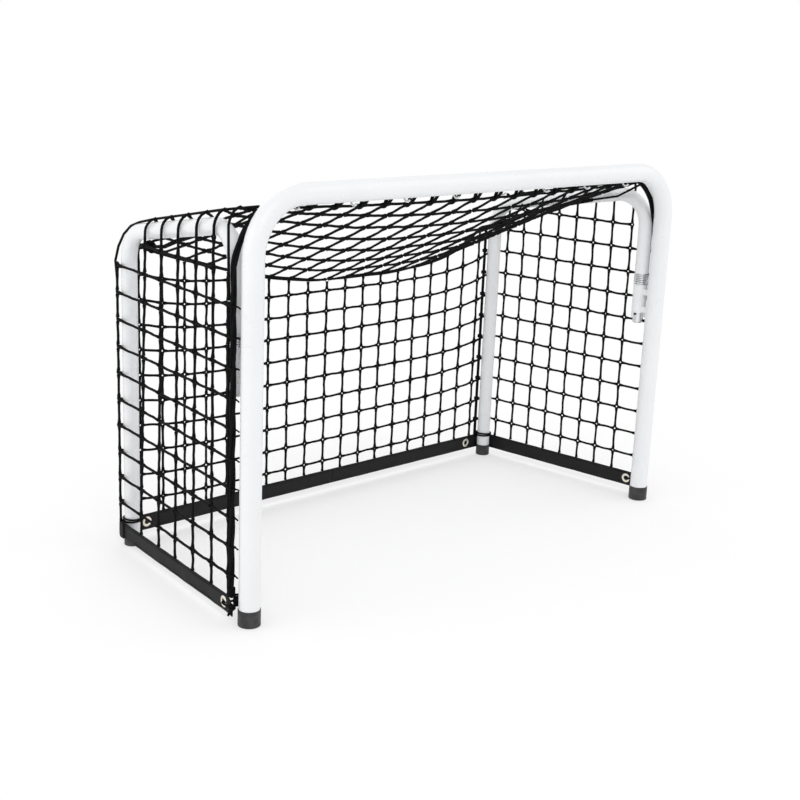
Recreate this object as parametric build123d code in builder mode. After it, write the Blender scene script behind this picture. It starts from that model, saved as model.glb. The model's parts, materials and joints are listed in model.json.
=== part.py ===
"""Foldable floorball goal: a bent tube mouth frame, two swivelling side bows and a cord net.

Millimetres. X runs along the goal's width, +Y to its rear, +Z up. The mouth faces -Y.
The origin is at the middle of the footprint, on the floor.
"""

import math
import os

from build123d import *

# Overall size of the goal
frame_width = 900.0  # over the mouth posts
frame_height = 600.0  # over the crossbar
overall_depth = 385.0  # from the front foot caps to the outside of the rear net

# Mouth frame
frame_tube_dia = 30.0
frame_tube_wall = 1.8
frame_bend_radius = 80.0  # centreline
front_cap_wall = 1.0
front_cap_height = 24.0
rear_cap_wall = 1.0
cap_floor = 3.0
cap_edge_round = 0.8

# Side bows
bow_tube_dia = 24.0
bow_tube_wall = 1.5
bow_bend_radius = 50.0  # centreline
bow_front_height = 546.0  # rail centreline above the leg
bow_rear_height = 491.0  # rail centreline above the rear post
bow_toe_in = 6.5  # degrees that the taut net draws each bow inwards
rear_cap_height = 20.0

# Swivels, behind the mouth posts
swivel_offset = 34.0  # post centreline to swivel axis
sleeve_bottom = 328.0
sleeve_length = 58.0
spindle_dia = 18.0
spindle_head_length = 45.0  # the part held inside the bow leg
spindle_stub = 10.0  # below the sleeve
spindle_fit = 0.05  # radial running clearance
spindle_chamfer = 1.0
seat_thickness = 1.0
seat_dia = 26.0
spring_wire = 2.0
spring_mean_dia = 23.4
spring_turns = 5
spring_length = 18.0
spring_end_gap = 0.1
stop_pin_dia = 4.0
stop_pin_height = 6.0  # above the bottom of the sleeve
stop_pin_chamfer = 0.4
fold_angle = 83.0  # travel from the taut net to flat behind the mouth
window_margin = 0.15  # clearance of the pin in its window
lug_height = 10.0
lug_width = 12.0
lug_drops = (12.0, 43.0)  # below the top of the sleeve

# Net, its ropes and its hem of webbing
net_thickness = 4.0
net_cord = 4.0
net_standoff = 13.3  # bow centreline to the inside of the net
seat_gap = 0.3  # between soft pieces and what they lie on
mesh_pitch = 40.0
top_columns = 21
top_rows = 8
back_columns = 20
side_columns = {"left": 6, "right": 9}
seam_sag = 119.0  # of the rear top seam, below the rails
seam_power = 6  # even: the higher, the flatter the bottom of the sag
rail_strip = 31.0  # width of the roof net that lies over a rail, at the rear
smallest_gap = 2.0
gap_steps = 6  # straight pieces in the top of a gap in the back net
band_bottom = 12.0
band_width = 26.0
band_thickness = 2.0
band_lead = 19.0  # reach of the side band in front of the swivel axis
rope_dia = 9.0
rope_behind = 20.0  # mouth centreline to rope centreline
rope_outside = 16.0  # post centreline to rope centreline
rope_below_top = 32.0
rope_bend_radius = 75.0
roof_front_height = 566.3  # underside of the roof net, at its front edge
roof_rear_height = 500.8  # underside of the roof net, at the rear corners

# Small net fittings
eyelet_dia = 17.5
eyelet_hole = 8.0
eyelet_barrel_wall = 1.0
eyelet_flange = 0.8
eyelet_behind_axis = 3.0
rear_eyelet_inset = 35.0  # from the rear post, along the back band
tie_dia = 3.5
tie_corner_radius = 3.0
tie_slack = 1.0  # between the cord and the eyelet's inner flange
tie_lead = 5.0  # reach of the front tie in front of the band
tie_past_staple = (2.3, -6.0)  # from the staple's wire to the tie's corner, forwards and outwards
staple_wire = 3.0
staple_height = 10.0  # between its two legs
staple_stand = 8.0  # post surface to the middle of the staple's wire
staple_turn = 22.0  # degrees outwards from straight behind the post
staple_bend = 3.0
rear_tie_dia = 3.0
rear_tie_gap = 0.2
rear_tie_height = 42.0
hook_wire = 3.0
hook_pitch = 100.0
hook_count = 8
hook_curl = 240.0  # degrees round the rope

sides = {"left": -1, "right": 1}

# Worked out from the sizes above
frame_tube_radius = frame_tube_dia / 2
bow_tube_radius = bow_tube_dia / 2
front_cap_radius = frame_tube_radius + front_cap_wall
front_y = front_cap_radius - overall_depth / 2
post_x = frame_width / 2 - frame_tube_radius
bar_z = frame_height - frame_tube_radius
axis_y = front_y + swivel_offset
toe_sin = math.sin(math.radians(bow_toe_in))
toe_cos = math.cos(math.radians(bow_toe_in))
rear_net_y = overall_depth / 2 - net_thickness
rear_post_y = rear_net_y - net_standoff
bow_reach = (rear_post_y - axis_y) / toe_cos
rear_post_x = post_x - bow_reach * toe_sin
sleeve_top = sleeve_bottom + sleeve_length
leg_bottom = sleeve_top + seat_thickness + spring_length
spring_bottom = sleeve_top + seat_thickness + spring_end_gap + spring_wire / 2
spring_pitch = (spring_length - spring_wire - 2 * spring_end_gap) / spring_turns
band_top = band_bottom + band_width
rope_radius = rope_dia / 2
rope_y = front_y + rope_behind
rope_x = post_x + rope_outside
rope_z = frame_height - rope_below_top
hook_radius = rope_radius + hook_wire / 2 + seat_gap
roof_front_y = rope_y + hook_radius + hook_wire / 2 + seat_gap
eyelet_z = band_bottom + band_width / 2
staple_z = front_cap_height + staple_wire + staple_height / 2
side_net_front = (rope_y + rope_radius + seat_gap - axis_y) / toe_cos - net_standoff * toe_sin / toe_cos
side_net_rear = (rear_net_y - seat_gap - axis_y - (net_standoff + net_thickness) * toe_sin) / toe_cos
back_half_width = post_x - side_net_rear * toe_sin + (net_standoff + net_thickness) * toe_cos
roof_front_half = post_x - side_net_front * toe_sin + (net_standoff + net_thickness) * toe_cos
sag_half_width = back_half_width - rail_strip
sag_front_half = roof_front_half * sag_half_width / back_half_width


def bow_plane(side, offset=0.0):
    """The plane of one bow, its x to the rear and its y up, moved outwards by offset."""
    rearwards = Vector(-side * toe_sin, toe_cos, 0)
    across = rearwards.cross(Vector(0, 0, 1))
    return Plane(origin=(side * post_x, axis_y, 0), x_dir=rearwards, z_dir=across).offset(side * offset)


def finish(block, name):
    """Label a finished piece and write its STEP file."""
    block.part.label = name
    export_step(block.part, f"parts/{name}.step")


def roof_height(reach):
    """Underside of the roof net over the side net's outer face, at a reach behind the swivel axis."""
    y = axis_y + reach * toe_cos + (net_standoff + net_thickness) * toe_sin
    share = (y - roof_front_y) / (rear_net_y - roof_front_y)
    return roof_front_height + share * (roof_rear_height - roof_front_height)


def seam_height(x):
    """Underside of the roof net along its rear seam, at a place across the back."""
    across = min(abs(x) / sag_half_width, 1)
    return roof_rear_height - seam_sag * (1 - across**seam_power)


def seam_controls(rise):
    """Control points of the rear seam's curve, raised by rise, from left to right.

    They make the height of a Bezier the same power of x as in seam_height.
    """
    controls = []
    for number in range(seam_power + 1):
        drop = seam_sag * (1 - (-1) ** number)
        controls.append((sag_half_width * (2 * number / seam_power - 1), roof_rear_height + rise - drop))
    return controls


def gap_corners(left, right, low, high, roof, steps):
    """Corners of one gap in a net, whose top stays a cord's thickness under the height roof gives."""
    tops = []
    for number in range(steps + 1):
        x = left + (right - left) * number / steps
        slope = (roof(x + 1) - roof(x - 1)) / 2
        top = min(high, roof(x) - net_cord * math.hypot(1, slope))
        if top > low + smallest_gap:
            tops.append(Vector(x, top))
    if len(tops) < 2:
        return []
    return [Vector(tops[0].X, low), Vector(tops[-1].X, low), *reversed(tops)]


def net_face(outline, columns, rows, roof, steps):
    """A flat net as one face: its outline, with a gap between each pair of cords.

    columns and rows are the centrelines of the cords, roof gives the height where the net ends,
    and steps is how many straight pieces a gap's top has.
    """
    half = net_cord / 2
    gaps = []
    for x0, x1 in zip(columns, columns[1:]):
        for z0, z1 in zip(rows, rows[1:]):
            corners = gap_corners(x0 + half, x1 - half, z0 + half, z1 - half, roof, steps)
            if corners:
                gaps.append(Wire.make_polygon(corners, close=True))
    return Face(outline, gaps)


def spread(start, end, count):
    """Evenly spaced values from start to end, with count spaces between them."""
    return [start + (end - start) * number / count for number in range(count + 1)]


def pitched(start, end, pitch):
    """Values a pitch apart from start, the last one past the end."""
    return [start + pitch * number for number in range(math.ceil((end - start) / pitch) + 2)]


def coil_points(bottom, steps):
    """Points and directions of travel along the spring, steps of them to a turn, about the Z axis."""
    radius = spring_mean_dia / 2
    rise = spring_pitch / (2 * math.pi * radius)
    found = []
    for number in range(spring_turns * steps + 1):
        turn = 2 * math.pi * number / steps
        height = bottom + spring_pitch * number / steps
        point = Vector(radius * math.cos(turn), radius * math.sin(turn), height)
        found.append((point, Vector(-math.sin(turn), math.cos(turn), rise).normalized()))
    return found


def biarc(start, start_way, end, end_way):
    """Where two tangent arcs from start to end meet, and the way that the line points there."""
    chord = end - start
    both = start_way + end_way
    spare = 2 * (1 - start_way.dot(end_way))
    along = chord.dot(both)
    reach = (-along + math.sqrt(along**2 + spare * chord.dot(chord))) / spare
    first = start + start_way * reach
    second = end - end_way * reach
    return (first + second) * 0.5, (second - first).normalized()


os.makedirs("parts", exist_ok=True)

# Mouth frame: one tube bent to an arch
frame_points = [
    (-post_x, front_y, cap_floor),
    (-post_x, front_y, bar_z),
    (post_x, front_y, bar_z),
    (post_x, front_y, cap_floor),
]
with BuildPart() as front_frame:
    with BuildLine():
        FilletPolyline(*frame_points, radius=frame_bend_radius)
    with BuildSketch(Plane.XY.offset(cap_floor)):
        with Locations((-post_x, front_y)):
            Circle(frame_tube_radius)
            Circle(frame_tube_radius - frame_tube_wall, mode=Mode.SUBTRACT)
    sweep()
finish(front_frame, "front_frame")

# Hooks behind the crossbar, each curled round the mouth rope
first_hook_x = -hook_pitch * (hook_count - 1) / 2
with BuildPart() as crossbar_hooks:
    for number in range(hook_count):
        middle = (first_hook_x + number * hook_pitch, rope_y, rope_z)
        with BuildLine(Plane(origin=middle, x_dir=(0, 1, 0), z_dir=(1, 0, 0))) as hook_line:
            Line((front_y - rope_y, hook_radius), (0, hook_radius))
            CenterArc((0, 0), hook_radius, 90, -hook_curl)
        with BuildSketch(Plane(origin=hook_line.line @ 0, z_dir=hook_line.line % 0)):
            Circle(hook_wire / 2)
        sweep(path=hook_line.line)
    with Locations((0, front_y, bar_z)):
        Cylinder(frame_tube_radius, frame_width, rotation=(0, 90, 0), mode=Mode.SUBTRACT)
finish(crossbar_hooks, "crossbar_hooks")

# Mouth rope: the gathered edge of the net, down behind both posts and along the crossbar
rope_points = [
    (-rope_x, rope_y, band_top + seat_gap),
    (-rope_x, rope_y, rope_z),
    (rope_x, rope_y, rope_z),
    (rope_x, rope_y, band_top + seat_gap),
]
with BuildPart() as mouth_rope:
    with BuildLine() as rope_line:
        FilletPolyline(*rope_points, radius=rope_bend_radius)
    with BuildSketch(Plane.XY.offset(band_top + seat_gap)):
        with Locations((-rope_x, rope_y)):
            Circle(rope_radius)
    sweep()
finish(mouth_rope, "mouth_rope")

# Roof net: a ruled sheet from the crossbar to the sagging rear seam
roof_cell_rows = spread(roof_front_y, rear_net_y, top_rows)
half_cord = net_cord / 2
half_thickness = net_thickness / 2
roof_gaps = []
for row_front, row_rear in zip(roof_cell_rows, roof_cell_rows[1:]):
    for column in range(top_columns):
        corners = []
        for y, shares in ((row_front + half_cord, (0, 1)), (row_rear - half_cord, (1, 0))):
            share = (y - roof_front_y) / (rear_net_y - roof_front_y)
            half_width = roof_front_half + share * (back_half_width - roof_front_half)
            for past in shares:
                x = half_width * (2 * (column + past) / top_columns - 1)
                corners.append(Vector(x + half_cord * (1 - 2 * past), y, 0))
        roof_gaps.append(Wire.make_polygon(corners, close=True))
roof_outline = Wire.make_polygon(
    [
        Vector(-roof_front_half, roof_front_y, 0),
        Vector(roof_front_half, roof_front_y, 0),
        Vector(back_half_width, rear_net_y, 0),
        Vector(-back_half_width, rear_net_y, 0),
    ],
    close=True,
)
roof_face = Face(roof_outline, roof_gaps)
with BuildPart() as top_net:
    for side in sides.values():
        with BuildSketch(Plane.XZ.offset(-roof_front_y)):
            strip_x = side * (roof_front_half + sag_front_half) / 2
            with Locations((strip_x, roof_front_height + half_thickness)):
                Rectangle(roof_front_half - sag_front_half, net_thickness)
        with BuildSketch(Plane.XZ.offset(-rear_net_y)):
            strip_x = side * (back_half_width + sag_half_width) / 2
            with Locations((strip_x, roof_rear_height + half_thickness)):
                Rectangle(rail_strip, net_thickness)
        loft(ruled=True)
    with BuildSketch(Plane.XZ.offset(-roof_front_y)):
        with Locations((0, roof_front_height + half_thickness)):
            Rectangle(2 * sag_front_half, net_thickness)
    with BuildSketch(Plane.XZ.offset(-rear_net_y)):
        with BuildLine():
            lower = Bezier(*seam_controls(0))
            upper = Bezier(*seam_controls(net_thickness))
            Line(lower @ 0, upper @ 0)
            Line(lower @ 1, upper @ 1)
        make_face()
    loft(ruled=True)
    with BuildSketch():
        add(roof_face)
    extrude(amount=frame_height, mode=Mode.INTERSECT)
finish(top_net, "top_net")

# Back net: a flat net that hangs from the seam to the band
with BuildPart() as back_net:
    with BuildSketch(Plane.XZ.offset(-rear_net_y)):
        with BuildLine() as back_edge:
            seam = Bezier(*seam_controls(-seat_gap))
            Polyline(
                seam @ 0,
                (-back_half_width, roof_rear_height - seat_gap),
                (-back_half_width, band_top),
                (back_half_width, band_top),
                (back_half_width, roof_rear_height - seat_gap),
                seam @ 1,
            )
        add(
            net_face(
                Wire(back_edge.line.edges()),
                spread(-back_half_width, back_half_width, back_columns),
                pitched(band_top, roof_rear_height, mesh_pitch),
                seam_height,
                gap_steps,
            )
        )
    extrude(amount=-net_thickness)
finish(back_net, "back_net")

# Back band: webbing hem, with a hole for each rear eyelet
rear_eyelet_x = rear_post_x - rear_eyelet_inset
with BuildPart() as back_band:
    with BuildSketch(Plane.XZ.offset(-rear_net_y)):
        with Locations((0, eyelet_z)):
            Rectangle(2 * back_half_width, band_width)
        with Locations((-rear_eyelet_x, eyelet_z), (rear_eyelet_x, eyelet_z)):
            Circle(eyelet_hole / 2 + eyelet_barrel_wall, mode=Mode.SUBTRACT)
    extrude(amount=-band_thickness)
finish(back_band, "back_band")

for name, side in sides.items():
    # Front foot: a rubber cap over the post's end
    with BuildPart(Plane((side * post_x, front_y, 0))) as front_foot:
        Cylinder(front_cap_radius, front_cap_height, align=(Align.CENTER, Align.CENTER, Align.MIN))
        with Locations((0, 0, cap_floor)):
            Cylinder(
                frame_tube_radius,
                front_cap_height,
                align=(Align.CENTER, Align.CENTER, Align.MIN),
                mode=Mode.SUBTRACT,
            )
        rim = front_foot.edges().filter_by(GeomType.CIRCLE).group_by(SortBy.RADIUS)[-1]
        fillet(rim, cap_edge_round)
    finish(front_foot, f"{name}_front_foot")

    # Swivel sleeve, with two windows that let the stop pin turn and drop
    window_top = sleeve_bottom + stop_pin_height + stop_pin_dia / 2 + window_margin
    inner_radius = spindle_dia / 2 + spindle_fit
    pin_half_angle = math.degrees(math.asin((stop_pin_dia / 2 + window_margin) / inner_radius))
    swivel = Plane(origin=(side * post_x, axis_y, 0), x_dir=(toe_cos, side * toe_sin, 0), z_dir=(0, 0, 1))
    window_start = -side * pin_half_angle
    window_turn = side * (fold_angle + 2 * pin_half_angle)
    window_rays = [math.radians(window_start + window_turn * share) for share in (0, 0.5, 1)]
    window_corners = [(bow_tube_dia * math.cos(ray), bow_tube_dia * math.sin(ray)) for ray in window_rays]
    with BuildPart() as sleeve:
        with BuildSketch(swivel.offset(sleeve_bottom)):
            Circle(bow_tube_radius)
            Circle(inner_radius, mode=Mode.SUBTRACT)
        extrude(amount=sleeve_length)
        with BuildSketch(swivel.offset(sleeve_bottom)):
            with PolarLocations(0, 2):
                Polygon((0, 0), *window_corners, align=None)
        extrude(amount=window_top - sleeve_bottom, mode=Mode.SUBTRACT)
    finish(sleeve, f"{name}_swivel_sleeve")

    # Lugs that join the sleeve to the post
    with BuildPart() as lugs:
        lug_y = front_y + swivel_offset / 2
        with Locations([(side * post_x, lug_y, sleeve_top - drop) for drop in lug_drops]):
            Box(lug_width, swivel_offset, lug_height)
        with Locations((side * post_x, front_y, sleeve_top)):
            Cylinder(frame_tube_radius, 3 * sleeve_length, mode=Mode.SUBTRACT)
        with Locations((side * post_x, axis_y, sleeve_top)):
            Cylinder(bow_tube_radius, 3 * sleeve_length, mode=Mode.SUBTRACT)
    finish(lugs, f"{name}_weld_lugs")

    # Seat washer and spring, which turn with the bow
    with BuildPart(Plane((side * post_x, axis_y, sleeve_top))) as seat:
        Cylinder(seat_dia / 2, seat_thickness, align=(Align.CENTER, Align.CENTER, Align.MIN))
        Hole(spindle_dia / 2 + window_margin)
    finish(seat, f"{name}_spring_seat")

    coil = coil_points(spring_bottom, 2)
    middle = Vector(side * post_x, axis_y, 0)
    coil_start = coil[0][0] - coil[0][1] * spring_wire + middle
    with BuildPart() as spring:
        with BuildLine() as coil_line:
            Line(coil_start, coil[0][0] + middle)
            for (start, start_way), (end, end_way) in zip(coil, coil[1:]):
                meeting, meeting_way = biarc(start, start_way, end, end_way)
                TangentArc(start + middle, meeting + middle, tangent=start_way)
                TangentArc(meeting + middle, end + middle, tangent=meeting_way)
            Line(coil[-1][0] + middle, coil[-1][0] + coil[-1][1] * spring_wire + middle)
        with BuildSketch(Plane(origin=coil_start, z_dir=coil[0][1])):
            Circle(spring_wire / 2)
        sweep(path=coil_line.line)
    finish(spring, f"{name}_spring")

    # Bow: one tube from the leg over the side to the rear foot
    rail_points = [
        (0, leg_bottom),
        (0, bow_front_height),
        (bow_reach, bow_rear_height),
        (bow_reach, cap_floor),
    ]
    with BuildPart() as bow:
        with BuildLine(bow_plane(side)):
            FilletPolyline(*rail_points, radius=bow_bend_radius)
        with BuildSketch(swivel.offset(leg_bottom)):
            Circle(bow_tube_radius)
            Circle(bow_tube_radius - bow_tube_wall, mode=Mode.SUBTRACT)
        sweep()
    finish(bow, f"{name}_bow")

    # Spindle: its head is pressed into the leg, and its shaft turns in the sleeve
    with BuildPart() as spindle:
        with BuildSketch(swivel.offset(leg_bottom)):
            Circle(bow_tube_radius - bow_tube_wall)
        extrude(amount=spindle_head_length)
        with BuildSketch(swivel.offset(leg_bottom)):
            Circle(spindle_dia / 2)
        extrude(amount=sleeve_bottom - spindle_stub - leg_bottom)
        chamfer(spindle.faces().sort_by(Axis.Z)[0].edges(), spindle_chamfer)
        with BuildSketch(bow_plane(side)):
            with Locations((0, sleeve_bottom + stop_pin_height)):
                Circle(stop_pin_dia / 2)
        extrude(amount=bow_tube_dia, both=True, mode=Mode.SUBTRACT)
    finish(spindle, f"{name}_spindle")

    # Stop pin across the spindle, seen at the sleeve's side
    with BuildPart() as stop_pin:
        with BuildSketch(bow_plane(side)):
            with Locations((0, sleeve_bottom + stop_pin_height)):
                Circle(stop_pin_dia / 2)
        extrude(amount=bow_tube_radius, both=True)
        chamfer(stop_pin.edges().filter_by(GeomType.CIRCLE), stop_pin_chamfer)
    finish(stop_pin, f"{name}_stop_pin")

    # Rear foot: a rubber cap over the rear post's end
    with BuildPart(Plane((side * rear_post_x, rear_post_y, 0))) as rear_foot:
        Cylinder(
            bow_tube_radius + rear_cap_wall,
            rear_cap_height,
            align=(Align.CENTER, Align.CENTER, Align.MIN),
        )
        with Locations((0, 0, cap_floor)):
            Cylinder(
                bow_tube_radius,
                rear_cap_height,
                align=(Align.CENTER, Align.CENTER, Align.MIN),
                mode=Mode.SUBTRACT,
            )
        rim = rear_foot.edges().filter_by(GeomType.CIRCLE).group_by(SortBy.RADIUS)[-1]
        fillet(rim, cap_edge_round)
    finish(rear_foot, f"{name}_rear_foot")

    # Side net, flat outside the bow
    side_outline = Wire.make_polygon(
        [
            Vector(side_net_front, band_top),
            Vector(side_net_rear, band_top),
            Vector(side_net_rear, roof_height(side_net_rear) - seat_gap),
            Vector(side_net_front, roof_height(side_net_front) - seat_gap),
        ],
        close=True,
    )
    with BuildPart() as side_net:
        with BuildSketch(bow_plane(side, net_standoff)):
            add(
                net_face(
                    side_outline,
                    spread(side_net_front, side_net_rear, side_columns[name]),
                    pitched(band_top, roof_front_height, mesh_pitch),
                    roof_height,
                    1,
                )
            )
        extrude(amount=side * net_thickness)
    finish(side_net, f"{name}_side_net")

    # Side band: webbing hem, with a hole for the front eyelet
    with BuildPart() as side_band:
        with BuildSketch(bow_plane(side, net_standoff)):
            with Locations(((side_net_rear - band_lead) / 2, eyelet_z)):
                Rectangle(side_net_rear + band_lead, band_width)
            with Locations((eyelet_behind_axis, eyelet_z)):
                Circle(eyelet_hole / 2 + eyelet_barrel_wall, mode=Mode.SUBTRACT)
        extrude(amount=side * band_thickness)
    finish(side_band, f"{name}_side_band")

    # Eyelets: a barrel through the band with a flange on each face
    front_eyelet_plane = bow_plane(side, net_standoff).shift_origin(
        bow_plane(side, net_standoff).from_local_coords((eyelet_behind_axis, eyelet_z, 0))
    )
    rear_eyelet_centre = (side * rear_eyelet_x, rear_net_y, eyelet_z)
    rear_eyelet_plane = Plane(origin=rear_eyelet_centre, x_dir=(1, 0, 0), z_dir=(0, -1, 0))
    for place, plane, outwards in (("front", front_eyelet_plane, side), ("rear", rear_eyelet_plane, -1)):
        with BuildPart() as eyelet:
            with BuildSketch(plane.offset(-outwards * eyelet_flange)):
                Circle(eyelet_dia / 2)
                Circle(eyelet_hole / 2, mode=Mode.SUBTRACT)
            extrude(amount=outwards * eyelet_flange)
            with BuildSketch(plane):
                Circle(eyelet_hole / 2 + eyelet_barrel_wall)
                Circle(eyelet_hole / 2, mode=Mode.SUBTRACT)
            extrude(amount=outwards * band_thickness)
            with BuildSketch(plane.offset(outwards * band_thickness)):
                Circle(eyelet_dia / 2)
                Circle(eyelet_hole / 2, mode=Mode.SUBTRACT)
            extrude(amount=outwards * eyelet_flange)
        finish(eyelet, f"{name}_{place}_eyelet")

    # Staple behind the post, which holds the front tie
    away_angle = math.radians(staple_turn)
    away = Vector(side * math.sin(away_angle), math.cos(away_angle), 0)
    staple_centre = Vector(side * post_x, front_y, staple_z) + away * (frame_tube_radius + staple_stand)
    staple_points = [
        (-staple_stand - staple_wire, -staple_height / 2),
        (0, -staple_height / 2),
        (0, staple_height / 2),
        (-staple_stand - staple_wire, staple_height / 2),
    ]
    staple_plane = Plane(origin=staple_centre, x_dir=away, z_dir=away.cross(Vector(0, 0, 1)))
    with BuildPart() as staple:
        with BuildLine(staple_plane) as staple_line:
            FilletPolyline(*staple_points, radius=staple_bend)
        with BuildSketch(Plane(origin=staple_line.line @ 0, z_dir=staple_line.line % 0)):
            Circle(staple_wire / 2)
        sweep(path=staple_line.line)
        with Locations((side * post_x, front_y, staple_z)):
            Cylinder(frame_tube_radius, 2 * staple_height, mode=Mode.SUBTRACT)
    finish(staple, f"{name}_post_staple")

    # Front tie: a cord loop through the eyelet, past the end of the band and round the staple
    bow_frame = bow_plane(side)
    staple_local = bow_frame.to_local_coords(staple_centre)
    staple_behind = eyelet_behind_axis - staple_local.X
    rise = math.atan2(staple_z - eyelet_z, staple_behind)
    forwards = bow_frame.x_dir * -math.cos(rise) + Vector(0, 0, math.sin(rise))
    outwards = bow_frame.z_dir * side
    eyelet_centre = bow_frame.from_local_coords((eyelet_behind_axis, eyelet_z, 0))
    tie_plane = Plane(origin=eyelet_centre, x_dir=forwards, z_dir=forwards.cross(outwards))
    cord_gap = eyelet_flange + seat_gap + tie_dia / 2
    outer = net_standoff + band_thickness + cord_gap
    inner = net_standoff - cord_gap - tie_slack
    lead = (eyelet_behind_axis + band_lead + tie_lead) / math.cos(rise)
    past_forwards, past_outwards = tie_past_staple
    round_staple = (staple_behind / math.cos(rise) + past_forwards, side * staple_local.Z + past_outwards)
    tie_corners = [(0, outer), (lead, outer), round_staple, (0, inner)]
    with BuildPart() as front_tie:
        with BuildLine(tie_plane) as tie_line:
            FilletPolyline(*tie_corners, radius=tie_corner_radius, close=True)
        with BuildSketch(Plane(origin=tie_line.line @ 0, z_dir=tie_line.line % 0)):
            Circle(tie_dia / 2)
        sweep(path=tie_line.line)
    finish(front_tie, f"{name}_front_tie")

    # Rear tie: a cord ring through the net and round the rear post
    with BuildPart(Plane((side * rear_post_x, rear_post_y, rear_tie_height))) as rear_tie:
        Torus(bow_tube_radius + rear_tie_gap + rear_tie_dia / 2, rear_tie_dia / 2)
    finish(rear_tie, f"{name}_rear_tie")

rope_length = sum(edge.length for edge in rope_line.line.edges())
print("mouth rope", round(rope_length), "mm long, bends of", rope_bend_radius, "mm")

steps = 36
samples = [point for point, way in coil_points(spring_bottom, steps)]
later = [(near, samples[index + steps // 2 :]) for index, near in enumerate(samples)]
apart = min((far - near).length for near, others in later for far in others)
print("spring", spring_turns, "turns, gap to itself", round(apart - spring_wire, 2), "mm")
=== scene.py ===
"""Foldable floorball goal: powder-coated tubes, a knotted cord net, its ropes and its hem of webbing.

Metres. X runs along the goal's width, +Y to its rear, +Z up. The mouth faces -Y.
"""

from __future__ import annotations

import json
import logging
import math
import random
from dataclasses import dataclass, field
from enum import Enum

import bmesh
import bpy
from mathutils import Matrix, Vector

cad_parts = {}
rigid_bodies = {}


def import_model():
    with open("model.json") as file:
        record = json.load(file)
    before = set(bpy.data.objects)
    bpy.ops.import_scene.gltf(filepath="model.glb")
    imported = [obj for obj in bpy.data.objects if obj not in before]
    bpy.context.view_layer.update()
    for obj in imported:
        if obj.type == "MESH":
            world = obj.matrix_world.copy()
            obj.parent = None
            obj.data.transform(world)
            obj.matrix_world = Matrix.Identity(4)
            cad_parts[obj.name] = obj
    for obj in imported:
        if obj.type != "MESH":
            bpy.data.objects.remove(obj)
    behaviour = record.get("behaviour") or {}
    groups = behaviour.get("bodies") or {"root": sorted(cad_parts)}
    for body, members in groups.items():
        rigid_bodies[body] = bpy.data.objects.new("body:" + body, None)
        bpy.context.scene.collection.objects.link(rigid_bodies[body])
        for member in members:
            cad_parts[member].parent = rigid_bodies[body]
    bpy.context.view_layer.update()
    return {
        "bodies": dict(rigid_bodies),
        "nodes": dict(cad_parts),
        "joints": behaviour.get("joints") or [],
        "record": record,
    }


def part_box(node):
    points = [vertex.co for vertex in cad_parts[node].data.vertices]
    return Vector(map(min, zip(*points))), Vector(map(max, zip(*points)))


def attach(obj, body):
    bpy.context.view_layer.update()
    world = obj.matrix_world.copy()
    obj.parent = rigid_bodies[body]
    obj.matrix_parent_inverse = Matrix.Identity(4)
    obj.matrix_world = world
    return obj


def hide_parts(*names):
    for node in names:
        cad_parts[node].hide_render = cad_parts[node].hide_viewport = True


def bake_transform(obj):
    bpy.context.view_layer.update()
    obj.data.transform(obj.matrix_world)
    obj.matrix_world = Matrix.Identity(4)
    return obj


LOG = logging.getLogger("goal")
Socket = bpy.types.NodeSocket
Node = bpy.types.Node
Object = bpy.types.Object
Chain = list[Vector]


class Side(Enum):
    """The two sides of the goal. The value is the sign of x there."""

    LEFT = -1
    RIGHT = 1

    @property
    def label(self) -> str:
        """The side's word in the names of nodes and bodies."""
        return self.name.lower()

    @property
    def swivel(self) -> str:
        """The body that folds on this side."""
        return f"{self.label}_swivel"


# Finishes


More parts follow.
